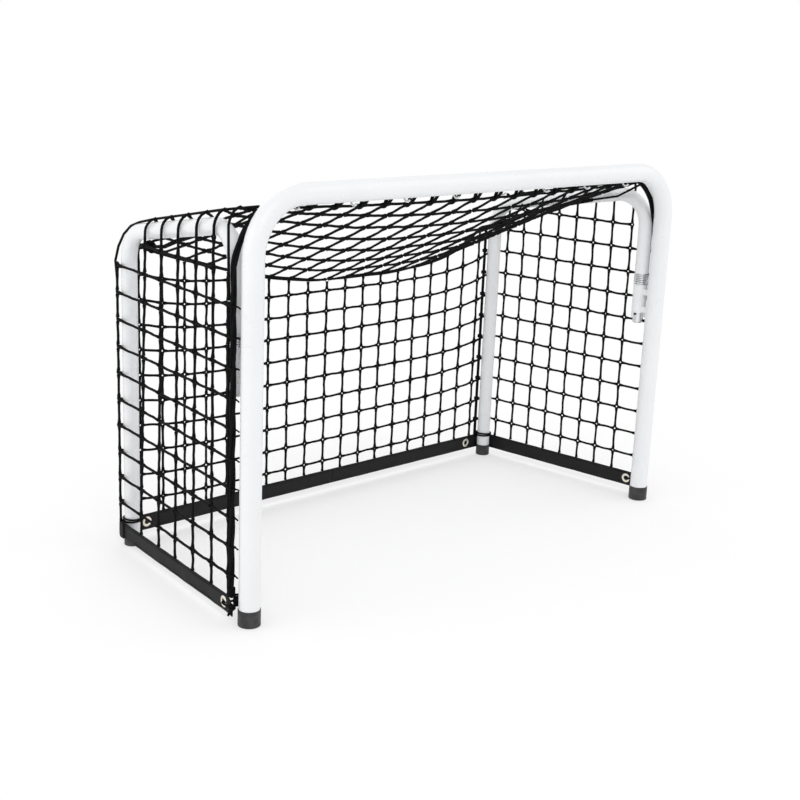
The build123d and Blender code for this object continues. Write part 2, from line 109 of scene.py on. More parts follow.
class Coating:
    """One node material, built up round a Principled shader."""

    def __init__(self, name: str) -> None:
        """Start a material.

        Args:
            name: The material's name.
        """
        self.material = bpy.data.materials.new(name)
        self.material.use_nodes = True
        self.tree = self.material.node_tree
        self.shader = self.tree.nodes["Principled BSDF"]

    def add(self, kind: str, **settings: object) -> Node:
        """Add a node.

        Args:
            kind: Blender's name for the node.
            settings: Properties to set on it.

        Returns:
            The node.
        """
        node = self.tree.nodes.new(kind)
        for key, value in settings.items():
            setattr(node, key, value)
        return node

    def feed(self, target: Socket, source: Socket | float) -> None:
        """Join a socket to its source, or set it to a number."""
        if isinstance(source, (int, float)):
            target.default_value = source
        else:
            self.tree.links.new(source, target)

    def fix(self, **values: object) -> None:
        """Set constants on the shader's own sockets, underscores standing for spaces."""
        for key, value in values.items():
            self.shader.inputs[key.replace("_", " ")].default_value = value

    def place(self) -> Socket:
        """The position on the piece."""
        return self.add("ShaderNodeTexCoord").outputs["Object"]

    def noise(self, scale: float, detail: float = 3.0, where: Socket | None = None) -> Socket:
        """Noise over the piece.

        Args:
            scale: Lumps per metre.
            detail: How many finer layers it has.
            where: Coordinates, if not the position on the piece.

        Returns:
            The noise, from 0 to 1.
        """
        node = self.add("ShaderNodeTexNoise")
        node.inputs["Scale"].default_value = scale
        node.inputs["Detail"].default_value = detail
        self.feed(node.inputs["Vector"], where or self.place())
        return node.outputs[0]

    def math(self, operation: str, first: Socket | float, second: Socket | float = 0.0) -> Socket:
        """A sum on one or two sockets.

        Args:
            operation: Blender's name for the sum.
            first: The first number.
            second: The second number.

        Returns:
            The result.
        """
        node = self.add("ShaderNodeMath", operation=operation)
        self.feed(node.inputs[0], first)
        self.feed(node.inputs[1], second)
        return node.outputs[0]

    def spread(self, source: Socket, low: float, high: float, start: float = 0.3, end: float = 0.7) -> Socket:
        """Map a socket's values from start..end to low..high.

        Args:
            source: The value to map.
            low: Result at start.
            high: Result at end.
            start: Lowest source value.
            end: Highest source value.

        Returns:
            The mapped value.
        """
        node = self.add("ShaderNodeMapRange")
        self.feed(node.inputs["Value"], source)
        for key, value in (("From Min", start), ("From Max", end), ("To Min", low), ("To Max", high)):
            node.inputs[key].default_value = value
        return node.outputs[0]

    def blend(self, share: Socket, low: tuple[float, ...] | Socket, high: tuple[float, ...]) -> Socket:
        """A colour between two.

        Args:
            share: 0 for the low colour, 1 for the high one.
            low: Colour at 0, or a socket that gives it.
            high: Colour at 1.

        Returns:
            The colour.
        """
        node = self.add("ShaderNodeMix", data_type="RGBA")
        self.feed(node.inputs[0], share)
        if isinstance(low, tuple):
            node.inputs[6].default_value = (*low, 1.0)
        else:
            self.feed(node.inputs[6], low)
        node.inputs[7].default_value = (*high, 1.0)
        return node.outputs[2]

    def paint(self, colour: Socket, roughness: Socket, height: Socket, depth: float) -> bpy.types.Material:
        """Feed the shader its colour, roughness and relief.

        Args:
            colour: The base colour.
            roughness: The roughness.
            height: Relief, from 0 to 1.
            depth: Depth of that relief in metres.

        Returns:
            The finished material.
        """
        relief = self.add("ShaderNodeBump")
        relief.inputs["Distance"].default_value = depth
        self.feed(relief.inputs["Height"], height)
        self.feed(self.shader.inputs["Base Color"], colour)
        self.feed(self.shader.inputs["Roughness"], roughness)
        self.feed(self.shader.inputs["Normal"], relief.outputs[0])
        return self.material


@dataclass(frozen=True)
class PowderCoat:
    """Gloss powder coat: faint orange peel, a few grey scuffs, and a faint darker tone that comes and goes at random.
    """

    name: str = "white_powder_coat"
    colour: tuple[float, float, float] = (0.83, 0.84, 0.85)
    shaded: tuple[float, float, float] = (0.80, 0.81, 0.825)
    scuff: tuple[float, float, float] = (0.62, 0.62, 0.62)
    peel_per_metre: float = 620.0
    peel_depth: float = 0.000015

    def make(self) -> bpy.types.Material:
        """Returns the material."""
        coat = Coating(self.name)
        tint = coat.blend(coat.spread(coat.noise(11.0), 0.0, 1.0), self.colour, self.shaded)
        marks = coat.spread(coat.noise(95.0, 6.0), 0.0, 0.4, 0.70, 0.78)
        tint = coat.blend(marks, tint, self.scuff)
        rough = coat.math("ADD", coat.spread(coat.noise(46.0), 0.27, 0.31), coat.math("MULTIPLY", marks, 0.2))
        coat.fix(Coat_Weight=0.25, Coat_Roughness=0.2, Specular_IOR_Level=0.5)
        return coat.paint(tint, rough, coat.noise(self.peel_per_metre, 2.0), self.peel_depth)


@dataclass(frozen=True)
class MouldedRubber:
    """Satin moulded rubber with fine grain and dusty patches."""

    name: str = "black_rubber"
    colour: tuple[float, float, float] = (0.022, 0.022, 0.024)
    dusty: tuple[float, float, float] = (0.060, 0.059, 0.058)

    def make(self) -> bpy.types.Material:
        """Returns the material."""
        coat = Coating(self.name)
        dust = coat.spread(coat.noise(85.0, 5.0), 0.0, 0.8, 0.42, 0.75)
        rough = coat.spread(coat.noise(120.0), 0.42, 0.62)
        coat.fix(Specular_IOR_Level=0.45)
        return coat.paint(coat.blend(dust, self.colour, self.dusty), rough, coat.noise(1500.0, 3.0), 0.00008)


@dataclass(frozen=True)
class PlatedMetal:
    """Plated metal: fine grain, cloudy roughness and duller spots."""

    name: str
    colour: tuple[float, float, float]
    dull: tuple[float, float, float]
    smooth: float
    rough: float
    metallic: float = 1.0

    def make(self) -> bpy.types.Material:
        """Returns the material."""
        coat = Coating(self.name)
        spots = coat.spread(coat.noise(260.0, 6.0), 0.0, 1.0, 0.45, 0.68)
        rough = coat.spread(coat.noise(140.0, 4.0), self.smooth, self.rough)
        coat.fix(Metallic=self.metallic)
        return coat.paint(coat.blend(spots, self.colour, self.dull), rough, coat.noise(2100.0, 2.0), 0.00003)


@dataclass(frozen=True)
class BraidedCord:
    """Braided cord: two sets of strands that cross, along the piece's own UV map, and loose fibres, with painted shade
    in the braid's grooves.
    """

    name: str
    # The groove colour is painted shade that darkens the braid's hollows; the crown colour is the cord's own colour.
    groove: tuple[float, float, float] = (0.001, 0.001, 0.0012)
    crown: tuple[float, float, float] = (0.0065, 0.0065, 0.0075)
    turns_per_metre: float = 190.0
    strands_round: int = 4
    depth: float = 0.00035

    def make(self) -> bpy.types.Material:
        """Returns the material."""
        coat = Coating(self.name)
        lay = coat.add("ShaderNodeSeparateXYZ")
        coat.feed(lay.inputs[0], coat.add("ShaderNodeUVMap", uv_map="UVMap").outputs[0])
        along = coat.math("MULTIPLY", lay.outputs[0], self.turns_per_metre * math.tau)
        around = coat.math("MULTIPLY", lay.outputs[1], self.strands_round * math.tau)
        first = coat.math("SINE", coat.math("ADD", along, around))
        second = coat.math("SINE", coat.math("SUBTRACT", along, around))
        braid = coat.math("MULTIPLY_ADD", coat.math("MAXIMUM", first, second), 0.5)
        braid.node.inputs[2].default_value = 0.5
        fibres = coat.noise(1300.0, 3.0)
        height = coat.math("ADD", coat.math("MULTIPLY", braid, 0.75), coat.math("MULTIPLY", fibres, 0.3))
        # Painted shade: the colour darkens from the crown colour into the braid's grooves, and the random fibres also
        # mottle it.
        tint = coat.blend(coat.spread(height, 0.0, 1.0, 0.25, 0.95), self.groove, self.crown)
        coat.fix(Specular_IOR_Level=0.1)
        return coat.paint(tint, coat.spread(fibres, 0.62, 0.86), height, self.depth)


@dataclass(frozen=True)
class Webbing:
    """Woven webbing: ribs along it, picks across it and darker edges, along the piece's own UV map in metres, with
    painted shade in the weave's hollows.
    """

    name: str = "black_webbing"
    width: float = 0.026
    # The groove colour is painted shade that darkens the weave's hollows; the crown colour is the band's own colour and
    # the edge colour is its real black edges.
    groove: tuple[float, float, float] = (0.003, 0.003, 0.0035)
    crown: tuple[float, float, float] = (0.013, 0.013, 0.0145)
    edge: tuple[float, float, float] = (0.003, 0.003, 0.0035)
    ribs_per_metre: float = 720.0
    picks_per_metre: float = 560.0

    def make(self) -> bpy.types.Material:
        """Returns the material."""
        coat = Coating(self.name)
        lay = coat.add("ShaderNodeSeparateXYZ")
        coat.feed(lay.inputs[0], coat.add("ShaderNodeUVMap", uv_map="UVMap").outputs[0])
        picks = coat.math("SINE", coat.math("MULTIPLY", lay.outputs[0], self.picks_per_metre * math.tau))
        ribs = coat.math("SINE", coat.math("MULTIPLY", lay.outputs[1], self.ribs_per_metre * math.tau))
        weave = coat.math("ABSOLUTE", coat.math("ADD", coat.math("MULTIPLY", picks, 0.6), ribs))
        fibres = coat.noise(1700.0, 3.0)
        height = coat.math("ADD", coat.math("MULTIPLY", weave, 0.45), coat.math("MULTIPLY", fibres, 0.3))
        # Painted shade: the colour darkens from the crown colour into the weave's hollows, and the random fibres also
        # mottle it.
        tint = coat.blend(coat.spread(height, 0.0, 1.0, 0.1, 0.8), self.groove, self.crown)
        middle = coat.math("ABSOLUTE", coat.math("SUBTRACT", lay.outputs[1], self.width / 2))
        rim = coat.spread(middle, 0.0, 1.0, self.width * 0.44, self.width * 0.48)
        coat.fix(Specular_IOR_Level=0.25)
        return coat.paint(coat.blend(rim, tint, self.edge), coat.spread(fibres, 0.5, 0.74), height, 0.0003)


@dataclass(frozen=True)
class PaleFloor:
    """Pale studio floor that turns into the white background away from the goal."""

    name: str = "pale_floor"
    colour: tuple[float, float, float] = (0.95, 0.95, 0.955)
    near: float = 0.35
    far: float = 1.3
    least_white: float = 0.45

    def make(self) -> bpy.types.Material:
        """Returns the material."""
        coat = Coating(self.name)
        reach = coat.add("ShaderNodeVectorMath", operation="LENGTH")
        coat.feed(reach.inputs[0], coat.place())
        away = coat.spread(reach.outputs["Value"], self.least_white, 1.0, self.near, self.far)
        path = coat.add("ShaderNodeLightPath")
        seen = coat.math("MAXIMUM", path.outputs["Is Camera Ray"], path.outputs["Is Glossy Ray"])
        seen = coat.math("MAXIMUM", seen, path.outputs["Is Transmission Ray"])
        white = coat.add("ShaderNodeEmission")
        white.inputs["Strength"].default_value = 1.0
        mix = coat.add("ShaderNodeMixShader")
        coat.feed(mix.inputs[0], coat.math("MULTIPLY", away, seen))
        coat.feed(mix.inputs[1], coat.shader.outputs[0])
        coat.feed(mix.inputs[2], white.outputs[0])
        coat.feed(coat.tree.nodes["Material Output"].inputs["Surface"], mix.outputs[0])
        coat.fix(Base_Color=(*self.colour, 1.0), Roughness=0.9, Specular_IOR_Level=0.1)
        return coat.material


@dataclass(frozen=True)
class Finishes:
    """Every finish of the goal, by the name of its slot in the record."""

    materials: dict[str, bpy.types.Material]

    @classmethod
    def make(cls) -> Finishes:
        """Returns the goal's finishes, made once."""
        kinds = (
            PowderCoat(),
            MouldedRubber(),
            PlatedMetal("zinc_steel", (0.82, 0.83, 0.84), (0.74, 0.75, 0.76), 0.24, 0.36),
            PlatedMetal("black_oxide_steel", (0.05, 0.05, 0.055), (0.02, 0.02, 0.022), 0.35, 0.5, 0.7),
            PlatedMetal("nickelled_brass", (0.87, 0.82, 0.72), (0.72, 0.66, 0.56), 0.2, 0.38),
            BraidedCord("black_cord"),
            Webbing(),
        )
        return cls({kind.name: kind.make() for kind in kinds})

    def __getitem__(self, name: str) -> bpy.types.Material:
        """The material of a slot."""
        return self.materials[name]


# Where things are


@dataclass(frozen=True)
class Layout:
    """Places on the goal, read from the frame's own boxes."""

    post_x: float
    front_y: float
    axis_y: float
    rear_post_x: float
    rear_post_y: float
    rear_y: float
    back_half: float
    band_low: float
    band_high: float
    roof_front_y: float
    roof_front_half: float
    toe: float = math.radians(6.5)
    net_out: float = 0.0153
    net_front: float = -0.0088
    net_rear: float = 0.3292
    rail_front: float = 0.546
    rail_rear: float = 0.491
    roof_front: float = 0.5683
    roof_rear: float = 0.5028
    front_dip: float = 0.0115
    seam_middle: float = 0.382
    seam_half: float = 0.388
    left_seam_rise: float = 0.0905
    right_seam_rise: float = 0.075
    left_seam_power: float = 1.55
    right_seam_power: float = 4.5
    roof_droop: float = 0.003
    still_half: float = 0.02073
    turning_half: float = 0.350
    held_x: float = 0.375
    rope_behind: float = 0.020
    bunch_along: float = 0.284
    bunch_out: float = -0.0175

    @classmethod
    def measure(cls, frame: dict) -> Layout:
        """Read the goal's main places.


        Returns:
            The layout.
        """
        post_low, post_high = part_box("right_front_foot")
        foot_low, foot_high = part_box("right_rear_foot")
        back_low, back_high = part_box("back_net")
        band_low, band_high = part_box("back_band")
        roof_low, roof_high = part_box("top_net")
        hinge = next(joint for joint in frame["joints"] if joint["name"] == "right_fold")
        return cls(
            post_x=(post_low[0] + post_high[0]) / 2,
            front_y=(post_low[1] + post_high[1]) / 2,
            axis_y=hinge["pos_m"][1],
            rear_post_x=(foot_low[0] + foot_high[0]) / 2,
            rear_post_y=(foot_low[1] + foot_high[1]) / 2,
            rear_y=(back_low[1] + back_high[1]) / 2,
            back_half=back_high[0],
            band_low=band_low[2],
            band_high=band_high[2],
            roof_front_y=roof_low[1] + 0.002,
            roof_front_half=roof_high[0],
        )

    def by_bow(self, side: Side, along: float, out: float, z: float) -> Vector:
        """A point beside a bow.

        Args:
            side: Which bow.
            along: Distance behind the swivel's axis, in the bow's plane.
            out: Distance outside that plane.
            z: Height.

        Returns:
            The point.
        """
        sine, cosine = math.sin(self.toe), math.cos(self.toe)
        x = side.value * (self.post_x - along * sine + out * cosine)
        return Vector((x, self.axis_y + along * cosine + out * sine, z))

    def outwards(self, side: Side) -> Vector:
        """The way that faces away from a bow, outside the goal."""
        return Vector((side.value * math.cos(self.toe), math.sin(self.toe), 0))

    def rail_height(self, along: float) -> float:
        """Height of a rail's centreline at a distance behind the swivel's axis."""
        reach = (self.rear_post_y - self.axis_y) / math.cos(self.toe)
        return self.rail_front + (self.rail_rear - self.rail_front) * along / reach

    def roof_edge_height(self, y: float) -> float:
        """Height of the roof net over the rails."""
        share = (y - self.roof_front_y) / (self.rear_y - self.roof_front_y)
        return self.roof_front + (self.roof_rear - self.roof_front) * share

    def over_rail(self, side: Side, along: float, turn: float) -> Vector:
        """A point of the net where it turns over a rail.

        Args:
            side: Which rail.
            along: Distance behind the swivel's axis.
            turn: 0 where the side net ends, 1 on top of the rail.

        Returns:
            The point.
        """
        angle = turn * math.pi / 2
        low = self.rail_height(along)
        top = self.roof_edge_height(self.by_bow(side, along, 0, 0).y)
        return self.by_bow(side, along, self.net_out * math.cos(angle), low + (top - low) * math.sin(angle))

    def seam_height(self, x: float) -> float:
        """Height of the rear seam, where the roof net meets the back net. It sags unevenly."""
        across = min(abs(x) / self.seam_half, 1.0)
        if x < 0:
            return self.seam_middle + self.left_seam_rise * across**self.left_seam_power
        return self.seam_middle + self.right_seam_rise * across**self.right_seam_power

    def bunch(self, side: Side) -> Vector:
        """The middle of the gathered net at a rear corner, inside the bow and under its rail."""
        z = self.seam_height(side.value * self.seam_half) + 0.002
        return self.by_bow(side, self.bunch_along, self.bunch_out, z)

    def rope_corner(self, side: Side) -> Vector:
        """The place on the mouth rope where the roof net's outer cords end."""
        x, z = (-0.410, 0.567) if side is Side.LEFT else (0.400, 0.5655)
        return Vector((x, self.front_y + self.rope_behind, z))

    def on_roof(self, across: float, share: float) -> Vector:
        """A point of the roof net.

        Args:
            across: -1 at the left edge, 1 at the right.
            share: 0 at the front edge, 1 at the rear seam.

        Returns:
            The point.
        """
        half = self.roof_front_half + (self.back_half - self.roof_front_half) * share
        seam = self.seam_height(across * self.back_half)
        droop = self.roof_droop * math.sin(math.pi * share) * (1 - across**2)
        front = self.roof_front - self.front_dip * (1 - across**2)
        z = front + (seam - front) * share - droop
        return Vector((across * half, self.roof_front_y + (self.rear_y - self.roof_front_y) * share, z))


# Meshes


def solid(name: str, points: Chain, faces: list[tuple[int, ...]]) -> Object:
    """Make a mesh object at the origin.

    Args:
        name: Its name.
        points: Its vertices.
        faces: Its faces, as indices of those.

    Returns:
        The object.
    """
    mesh = bpy.data.meshes.new(name)
    mesh.from_pydata(points, [], faces)
    mesh.update()
    piece = bpy.data.objects.new(name, mesh)
    bpy.context.scene.collection.objects.link(piece)
    return piece


def turned(name: str, outline: list[tuple[float, float]], centre: Vector, axis: Vector, steps: int) -> Object:
    """Turn a closed outline round an axis.

    Args:
        name: The piece's name.
        outline: (radius, height) corners in order.
        centre: Where height is 0 on the axis.
        axis: The axis.
        steps: Facets in a turn.

    Returns:
        The ring-shaped piece, smooth and facing outwards.
    """
    across = axis.orthogonal().normalized()
    third = axis.cross(across)
    points = []
    for step in range(steps):
        ray = across * math.cos(math.tau * step / steps) + third * math.sin(math.tau * step / steps)
        points.extend(centre + ray * radius + axis * height for radius, height in outline)
    count = len(outline)
    faces = []
    for step in range(steps):
        here, there = step * count, (step + 1) % steps * count
        for corner in range(count):
            after = (corner + 1) % count
            faces.append((here + corner, there + corner, there + after, here + after))
    piece = solid(name, points, faces)
    face_outwards(piece)
    return piece


def face_outwards(piece: Object) -> None:
    """Recalculate a closed mesh's normals and shade it smooth."""
    work = bmesh.new()
    work.from_mesh(piece.data)
    bmesh.ops.recalc_face_normals(work, faces=work.faces)
    for face in work.faces:
        face.smooth = True
    work.to_mesh(piece.data)
    work.free()


def clipped(whole: Object, name: str, cuts: list[tuple[Vector, Vector]]) -> Object:
    """Copy a piece and cut parts of it away, closing the cut cords.

    Args:
        whole: The piece to copy.
        name: The copy's name.
        cuts: For each cut, a point on its plane and the way that is taken off.

    Returns:
        The copy.
    """
    mesh = whole.data.copy()
    mesh.name = name
    piece = bpy.data.objects.new(name, mesh)
    bpy.context.scene.collection.objects.link(piece)
    work = bmesh.new()
    work.from_mesh(mesh)
    for point, away in cuts:
        everything = [*work.verts, *work.edges, *work.faces]
        cut = bmesh.ops.bisect_plane(work, geom=everything, plane_co=point, plane_no=away, clear_outer=True)
        rims = [part for part in cut["geom_cut"] if isinstance(part, bmesh.types.BMEdge)]
        bmesh.ops.holes_fill(work, edges=rims, sides=0)
    work.to_mesh(mesh)
    work.free()
    return piece


@dataclass
class Draft:
    """Cords before they have a thickness: lines, and points where a knot goes."""

    points: Chain = field(default_factory=list)
    edges: list[tuple[int, int]] = field(default_factory=list)
    knots: list[bool] = field(default_factory=list)
    facings: Chain = field(default_factory=list)

    def knot(self, place: Vector, facing: Vector) -> None:
        """Add a knot.

        Args:
            place: Its middle.
            facing: The way that its ring faces.
        """
        self.points.append(place)
        self.knots.append(True)
        self.facings.append(facing.normalized())

    def line(self, chain: Chain, closed: bool = False) -> None:
        """Add a cord.

        Args:
            chain: The points on its centreline.
            closed: Whether it is a loop.
        """
        first = len(self.points)
        self.points.extend(chain)
        self.knots.extend([False] * len(chain))
        self.facings.extend([Vector((0, 0, 1))] * len(chain))
        self.edges.extend((first + number, first + number + 1) for number in range(len(chain) - 1))
        if closed:
            self.edges.append((len(self.points) - 1, first))

    def chains(self) -> list[Chain]:
        """Returns the points of each open cord, in order."""
        found: list[Chain] = []
        previous = None
        for start, end in self.edges:
            if start != previous:
                found.append([self.points[start]])
            found[-1].append(self.points[end])
            previous = end
        return found

    def span(self, start: Vector, end: Vector, trim: float, sag: float = 0.0, steps: int = 5) -> None:
        """Add the cord between two knots, which stops short of both their holes.

        Args:
            start: Middle of the first knot.
            end: Middle of the second knot.
            trim: How far it stops from each.
            sag: How far its middle hangs below a straight line.
            steps: Straight pieces in it.
        """
        length = (end - start).length
        if length < 3 * trim:
            return
        chain = []
        for number in range(steps + 1):
            share = trim / length + (1 - 2 * trim / length) * number / steps
            drop = Vector((0, 0, -4 * sag * share * (1 - share)))
            chain.append(start.lerp(end, share) + drop)
        self.line(chain)

    def model(self, name: str) -> Object:
        """Returns the draft as an object of edges and points, for a node tree to work on."""
        mesh = bpy.data.meshes.new(name)
        mesh.from_pydata(self.points, self.edges, [])
        marks = mesh.attributes.new("knot", "BOOLEAN", "POINT")
        marks.data.foreach_set("value", self.knots)
        ways = mesh.attributes.new("facing", "FLOAT_VECTOR", "POINT")
        ways.data.foreach_set("vector", [part for way in self.facings for part in way])
        piece = bpy.data.objects.new(name, mesh)
        bpy.context.scene.collection.objects.link(piece)
        return piece


class Loom:
    """A Geometry Nodes tree with named sizes, and short calls to build it."""

    def __init__(self, name: str, **sizes: float) -> None:
        """Start a tree.

        Args:
            name: The tree's name.
            sizes: Its number inputs with their usual values.
        """
        self.group = bpy.data.node_groups.new(name, "GeometryNodeTree")
        face = self.group.interface
        face.new_socket("Geometry", in_out="INPUT", socket_type="NodeSocketGeometry")
        for size, usual in sizes.items():
            kind = "NodeSocketInt" if isinstance(usual, int) else "NodeSocketFloat"
            face.new_socket(size, in_out="INPUT", socket_type=kind).default_value = usual
        face.new_socket("Material", in_out="INPUT", socket_type="NodeSocketMaterial")
        face.new_socket("Geometry", in_out="OUTPUT", socket_type="NodeSocketGeometry")
        self.given = self.group.nodes.new("NodeGroupInput").outputs
        self.result = self.group.nodes.new("NodeGroupOutput").inputs[0]

    def add(self, kind: str, inputs: dict[str | int, object] | None = None, **settings: object) -> Node:
        """Add a node and feed its inputs.

        Args:
            kind: Blender's name for the node.
            inputs: Sockets or values by the input's name or number.
            settings: Properties to set on it.

        Returns:
            The node.
        """
        node = self.group.nodes.new(kind)
        for key, value in settings.items():
            setattr(node, key, value)
        for key, value in (inputs or {}).items():
            if isinstance(value, Socket):
                self.group.links.new(value, node.inputs[key])
            else:
                node.inputs[key].default_value = value
        return node

    def math(self, operation: str, first: object, second: object = 0.0, third: object = 0.0) -> Socket:
        """A sum on sockets or numbers, by Blender's name for it."""
        return self.add("ShaderNodeMath", {0: first, 1: second, 2: third}, operation=operation).outputs[0]

    def scaled(self, vector: Socket, factor: Socket) -> Socket:
        """A vector times a number."""
        node = self.add("ShaderNodeVectorMath", {0: vector, "Scale": factor}, operation="SCALE")
        return node.outputs[0]

    def attribute(self, name: str, kind: str) -> Socket:
        """A named attribute of the geometry."""
        return self.add("GeometryNodeInputNamedAttribute", {"Name": name}, data_type=kind).outputs[0]

    def noise(self, scale: float, seed: Socket) -> Node:
        """Noise over space that depends on the seed.

        Args:
            scale: Lumps per metre.
            seed: The tree's seed.

        Returns:
            The node, with its Fac and Color.
        """
        inputs = {"Scale": scale, "Detail": 1.0, "W": seed}
        return self.add("ShaderNodeTexNoise", inputs, noise_dimensions="4D")

    def tube(self, curve: Socket, radius: Socket, sides: int) -> Socket:
        """Give a curve its thickness and a UV map: metres along it, and turns round it.

        Args:
            curve: The curve.
            radius: Its radius in metres, which may vary along it.
            sides: Facets round it.

        Returns:
            The mesh.
        """
        spline = self.add("GeometryNodeSplineParameter")
        marked = self.add("GeometryNodeStoreNamedAttribute", {0: curve, "Name": "along", "Value": spline.outputs[1]})
        ring = self.add("GeometryNodeCurvePrimitiveCircle", {"Resolution": sides, "Radius": 1.0})
        turn = self.add("GeometryNodeSplineParameter")
        ring_in = {0: ring.outputs[0], "Name": "around", "Value": turn.outputs[0]}
        profile = self.add("GeometryNodeStoreNamedAttribute", ring_in)
        body_in = {0: marked.outputs[0], 1: profile.outputs[0], "Scale": radius, "Fill Caps": True}
        body = self.add("GeometryNodeCurveToMesh", body_in)
        lay = self.add(
            "ShaderNodeCombineXYZ",
            {0: self.attribute("along", "FLOAT"), 1: self.attribute("around", "FLOAT")},
        )
        mapped = self.add("GeometryNodeStoreNamedAttribute", data_type="FLOAT2", domain="CORNER")
        self.group.links.new(body.outputs[0], mapped.inputs[0])
        mapped.inputs["Name"].default_value = "UVMap"
        self.group.links.new(lay.outputs[0], mapped.inputs["Value"])
        return mapped.outputs[0]

    def close(self, mesh: Socket) -> None:
        """End the tree: real geometry, smooth, in its material."""
        real = self.add("GeometryNodeRealizeInstances", {0: mesh})
        smooth = self.add("GeometryNodeSetShadeSmooth", {0: real.outputs[0]})
        clean = smooth.outputs[0]
        for name in ("along", "around", "knot", "facing"):
            clean = self.add("GeometryNodeRemoveAttribute", {0: clean, "Name": name}).outputs[0]
        dressed = self.add("GeometryNodeSetMaterial", {0: clean, "Material": self.given["Material"]})
        self.group.links.new(dressed.outputs[0], self.result)

    def run(self, piece: Object, material: bpy.types.Material, **sizes: float) -> Object:
        """Apply the tree to an object and leave it a plain mesh.

        Args:
            piece: The object, whose mesh is replaced.
            material: The finish of the result.
            sizes: Inputs that differ from the usual ones.

        Returns:
            The same object.
        """
        modifier = piece.modifiers.new(self.group.name, "NODES")
        modifier.node_group = self.group
        for item in self.group.interface.items_tree:
            if item.in_out == "INPUT" and item.name == "Material":
                modifier[item.identifier] = material
            elif item.in_out == "INPUT" and item.name in sizes:
                modifier[item.identifier] = sizes[item.name]
        drawn = bpy.context.evaluated_depsgraph_get()
        mesh = bpy.data.meshes.new_from_object(
            piece.evaluated_get(drawn), preserve_all_data_layers=True, depsgraph=drawn
        )
        mesh.name = piece.name
        piece.modifiers.remove(modifier)
        piece.data = mesh
        if material.name not in {kept.name for kept in mesh.materials if kept}:
            mesh.materials.append(material)
        return piece


class CordTree(Loom):
    """Cords of one thickness, wavering a little, with a thicker part at each end if wanted."""

    def __init__(self) -> None:
        """Build the tree."""
        super().__init__("cords", Radius=0.002, Flare=0.0, Reach=0.004, Waver=0.0, Seed=1)
        given = self.given
        curve = self.add("GeometryNodeMeshToCurve", {0: given["Geometry"]}).outputs[0]
        self.close(self.cords(curve, given["Radius"]))

    def cords(self, curve: Socket, radius: Socket) -> Socket:
        """Waver, thicken and flare curves.

        Args:
            curve: The curves.
            radius: Their radius.

        Returns:
            Their mesh.
        """
        given = self.given
        spline = self.add("GeometryNodeSplineParameter").outputs
        whole = self.add("GeometryNodeSplineLength").outputs[0]
        middle = self.math("MULTIPLY", spline[0], self.math("SUBTRACT", 1.0, spline[0]))
        swing = self.noise(42.0, given["Seed"]).outputs["Color"]
        centred = self.add("ShaderNodeVectorMath", {0: swing, 1: (0.5, 0.5, 0.5)}, operation="SUBTRACT").outputs[0]
        offset = self.scaled(centred, self.math("MULTIPLY", self.math("MULTIPLY", middle, 8.0), given["Waver"]))
        moved = self.add("GeometryNodeSetPosition", {0: curve, "Offset": offset}).outputs[0]
        nearest = self.math("MINIMUM", spline[1], self.math("SUBTRACT", whole, spline[1]))
        near = self.math("MAXIMUM", 0.0, self.math("SUBTRACT", 1.0, self.math("DIVIDE", nearest, given["Reach"])))
        flare = self.math("MULTIPLY_ADD", self.math("MULTIPLY", near, near), given["Flare"], 1.0)
        lumps = self.math("MULTIPLY_ADD", self.noise(160.0, given["Seed"]).outputs["Fac"], 0.3, 0.85)
        full = self.math("MULTIPLY", self.math("MULTIPLY", radius, flare), lumps)
        return self.tube(moved, full, 8)


class NetTree(CordTree):
    """Net cords that flare into a small ring at every knot."""

    def __init__(self) -> None:
        """Build the tree."""
        Loom.__init__(
            self,
            "netting",
            Radius=0.0020,
            Flare=0.45,
            Reach=0.006,
            Waver=0.0018,
            Ring=0.0030,
            RingCord=0.0017,
            Seed=7,
        )
        given = self.given
        picked = self.add("GeometryNodeSeparateGeometry", domain="POINT")
        self.group.links.new(given["Geometry"], picked.inputs[0])
        self.group.links.new(self.attribute("knot", "BOOLEAN"), picked.inputs[1])
        curve = self.add("GeometryNodeMeshToCurve", {0: picked.outputs[1]}).outputs[0]
        cords = self.cords(curve, given["Radius"])
        ring = self.add("GeometryNodeCurvePrimitiveCircle", {"Resolution": 10, "Radius": given["Ring"]})
        knot = self.tube(ring.outputs[0], given["RingCord"], 6)
        spin = self.add("FunctionNodeRandomValue", data_type="FLOAT_VECTOR")
        spin.inputs[0].default_value = (-0.18, -0.18, -3.1)
        spin.inputs[1].default_value = (0.18, 0.18, 3.1)
        self.group.links.new(given["Seed"], spin.inputs["Seed"])
        facing = self.attribute("facing", "FLOAT_VECTOR")
        aligned = self.add("FunctionNodeAlignRotationToVector", {"Vector": facing})
        turned_by = self.add("FunctionNodeEulerToRotation", {0: spin.outputs[0]})
        rotation = self.add(
            "FunctionNodeRotateRotation",
            {0: aligned.outputs[0], 1: turned_by.outputs[0]},
            rotation_space="LOCAL",
        )
        size = self.add("FunctionNodeRandomValue", data_type="FLOAT")
        size.inputs[2].default_value = 0.88
        size.inputs[3].default_value = 1.14
        self.group.links.new(given["Seed"], size.inputs["Seed"])
        placed = self.add("GeometryNodeInstanceOnPoints", {0: picked.outputs[0]})
        self.group.links.new(knot, placed.inputs["Instance"])
        self.group.links.new(rotation.outputs[0], placed.inputs["Rotation"])
        self.group.links.new(size.outputs[1], placed.inputs["Scale"])
        both = self.add("GeometryNodeJoinGeometry")
        self.group.links.new(cords, both.inputs[0])
        self.group.links.new(placed.outputs[0], both.inputs[0])
        self.close(both.outputs[0])


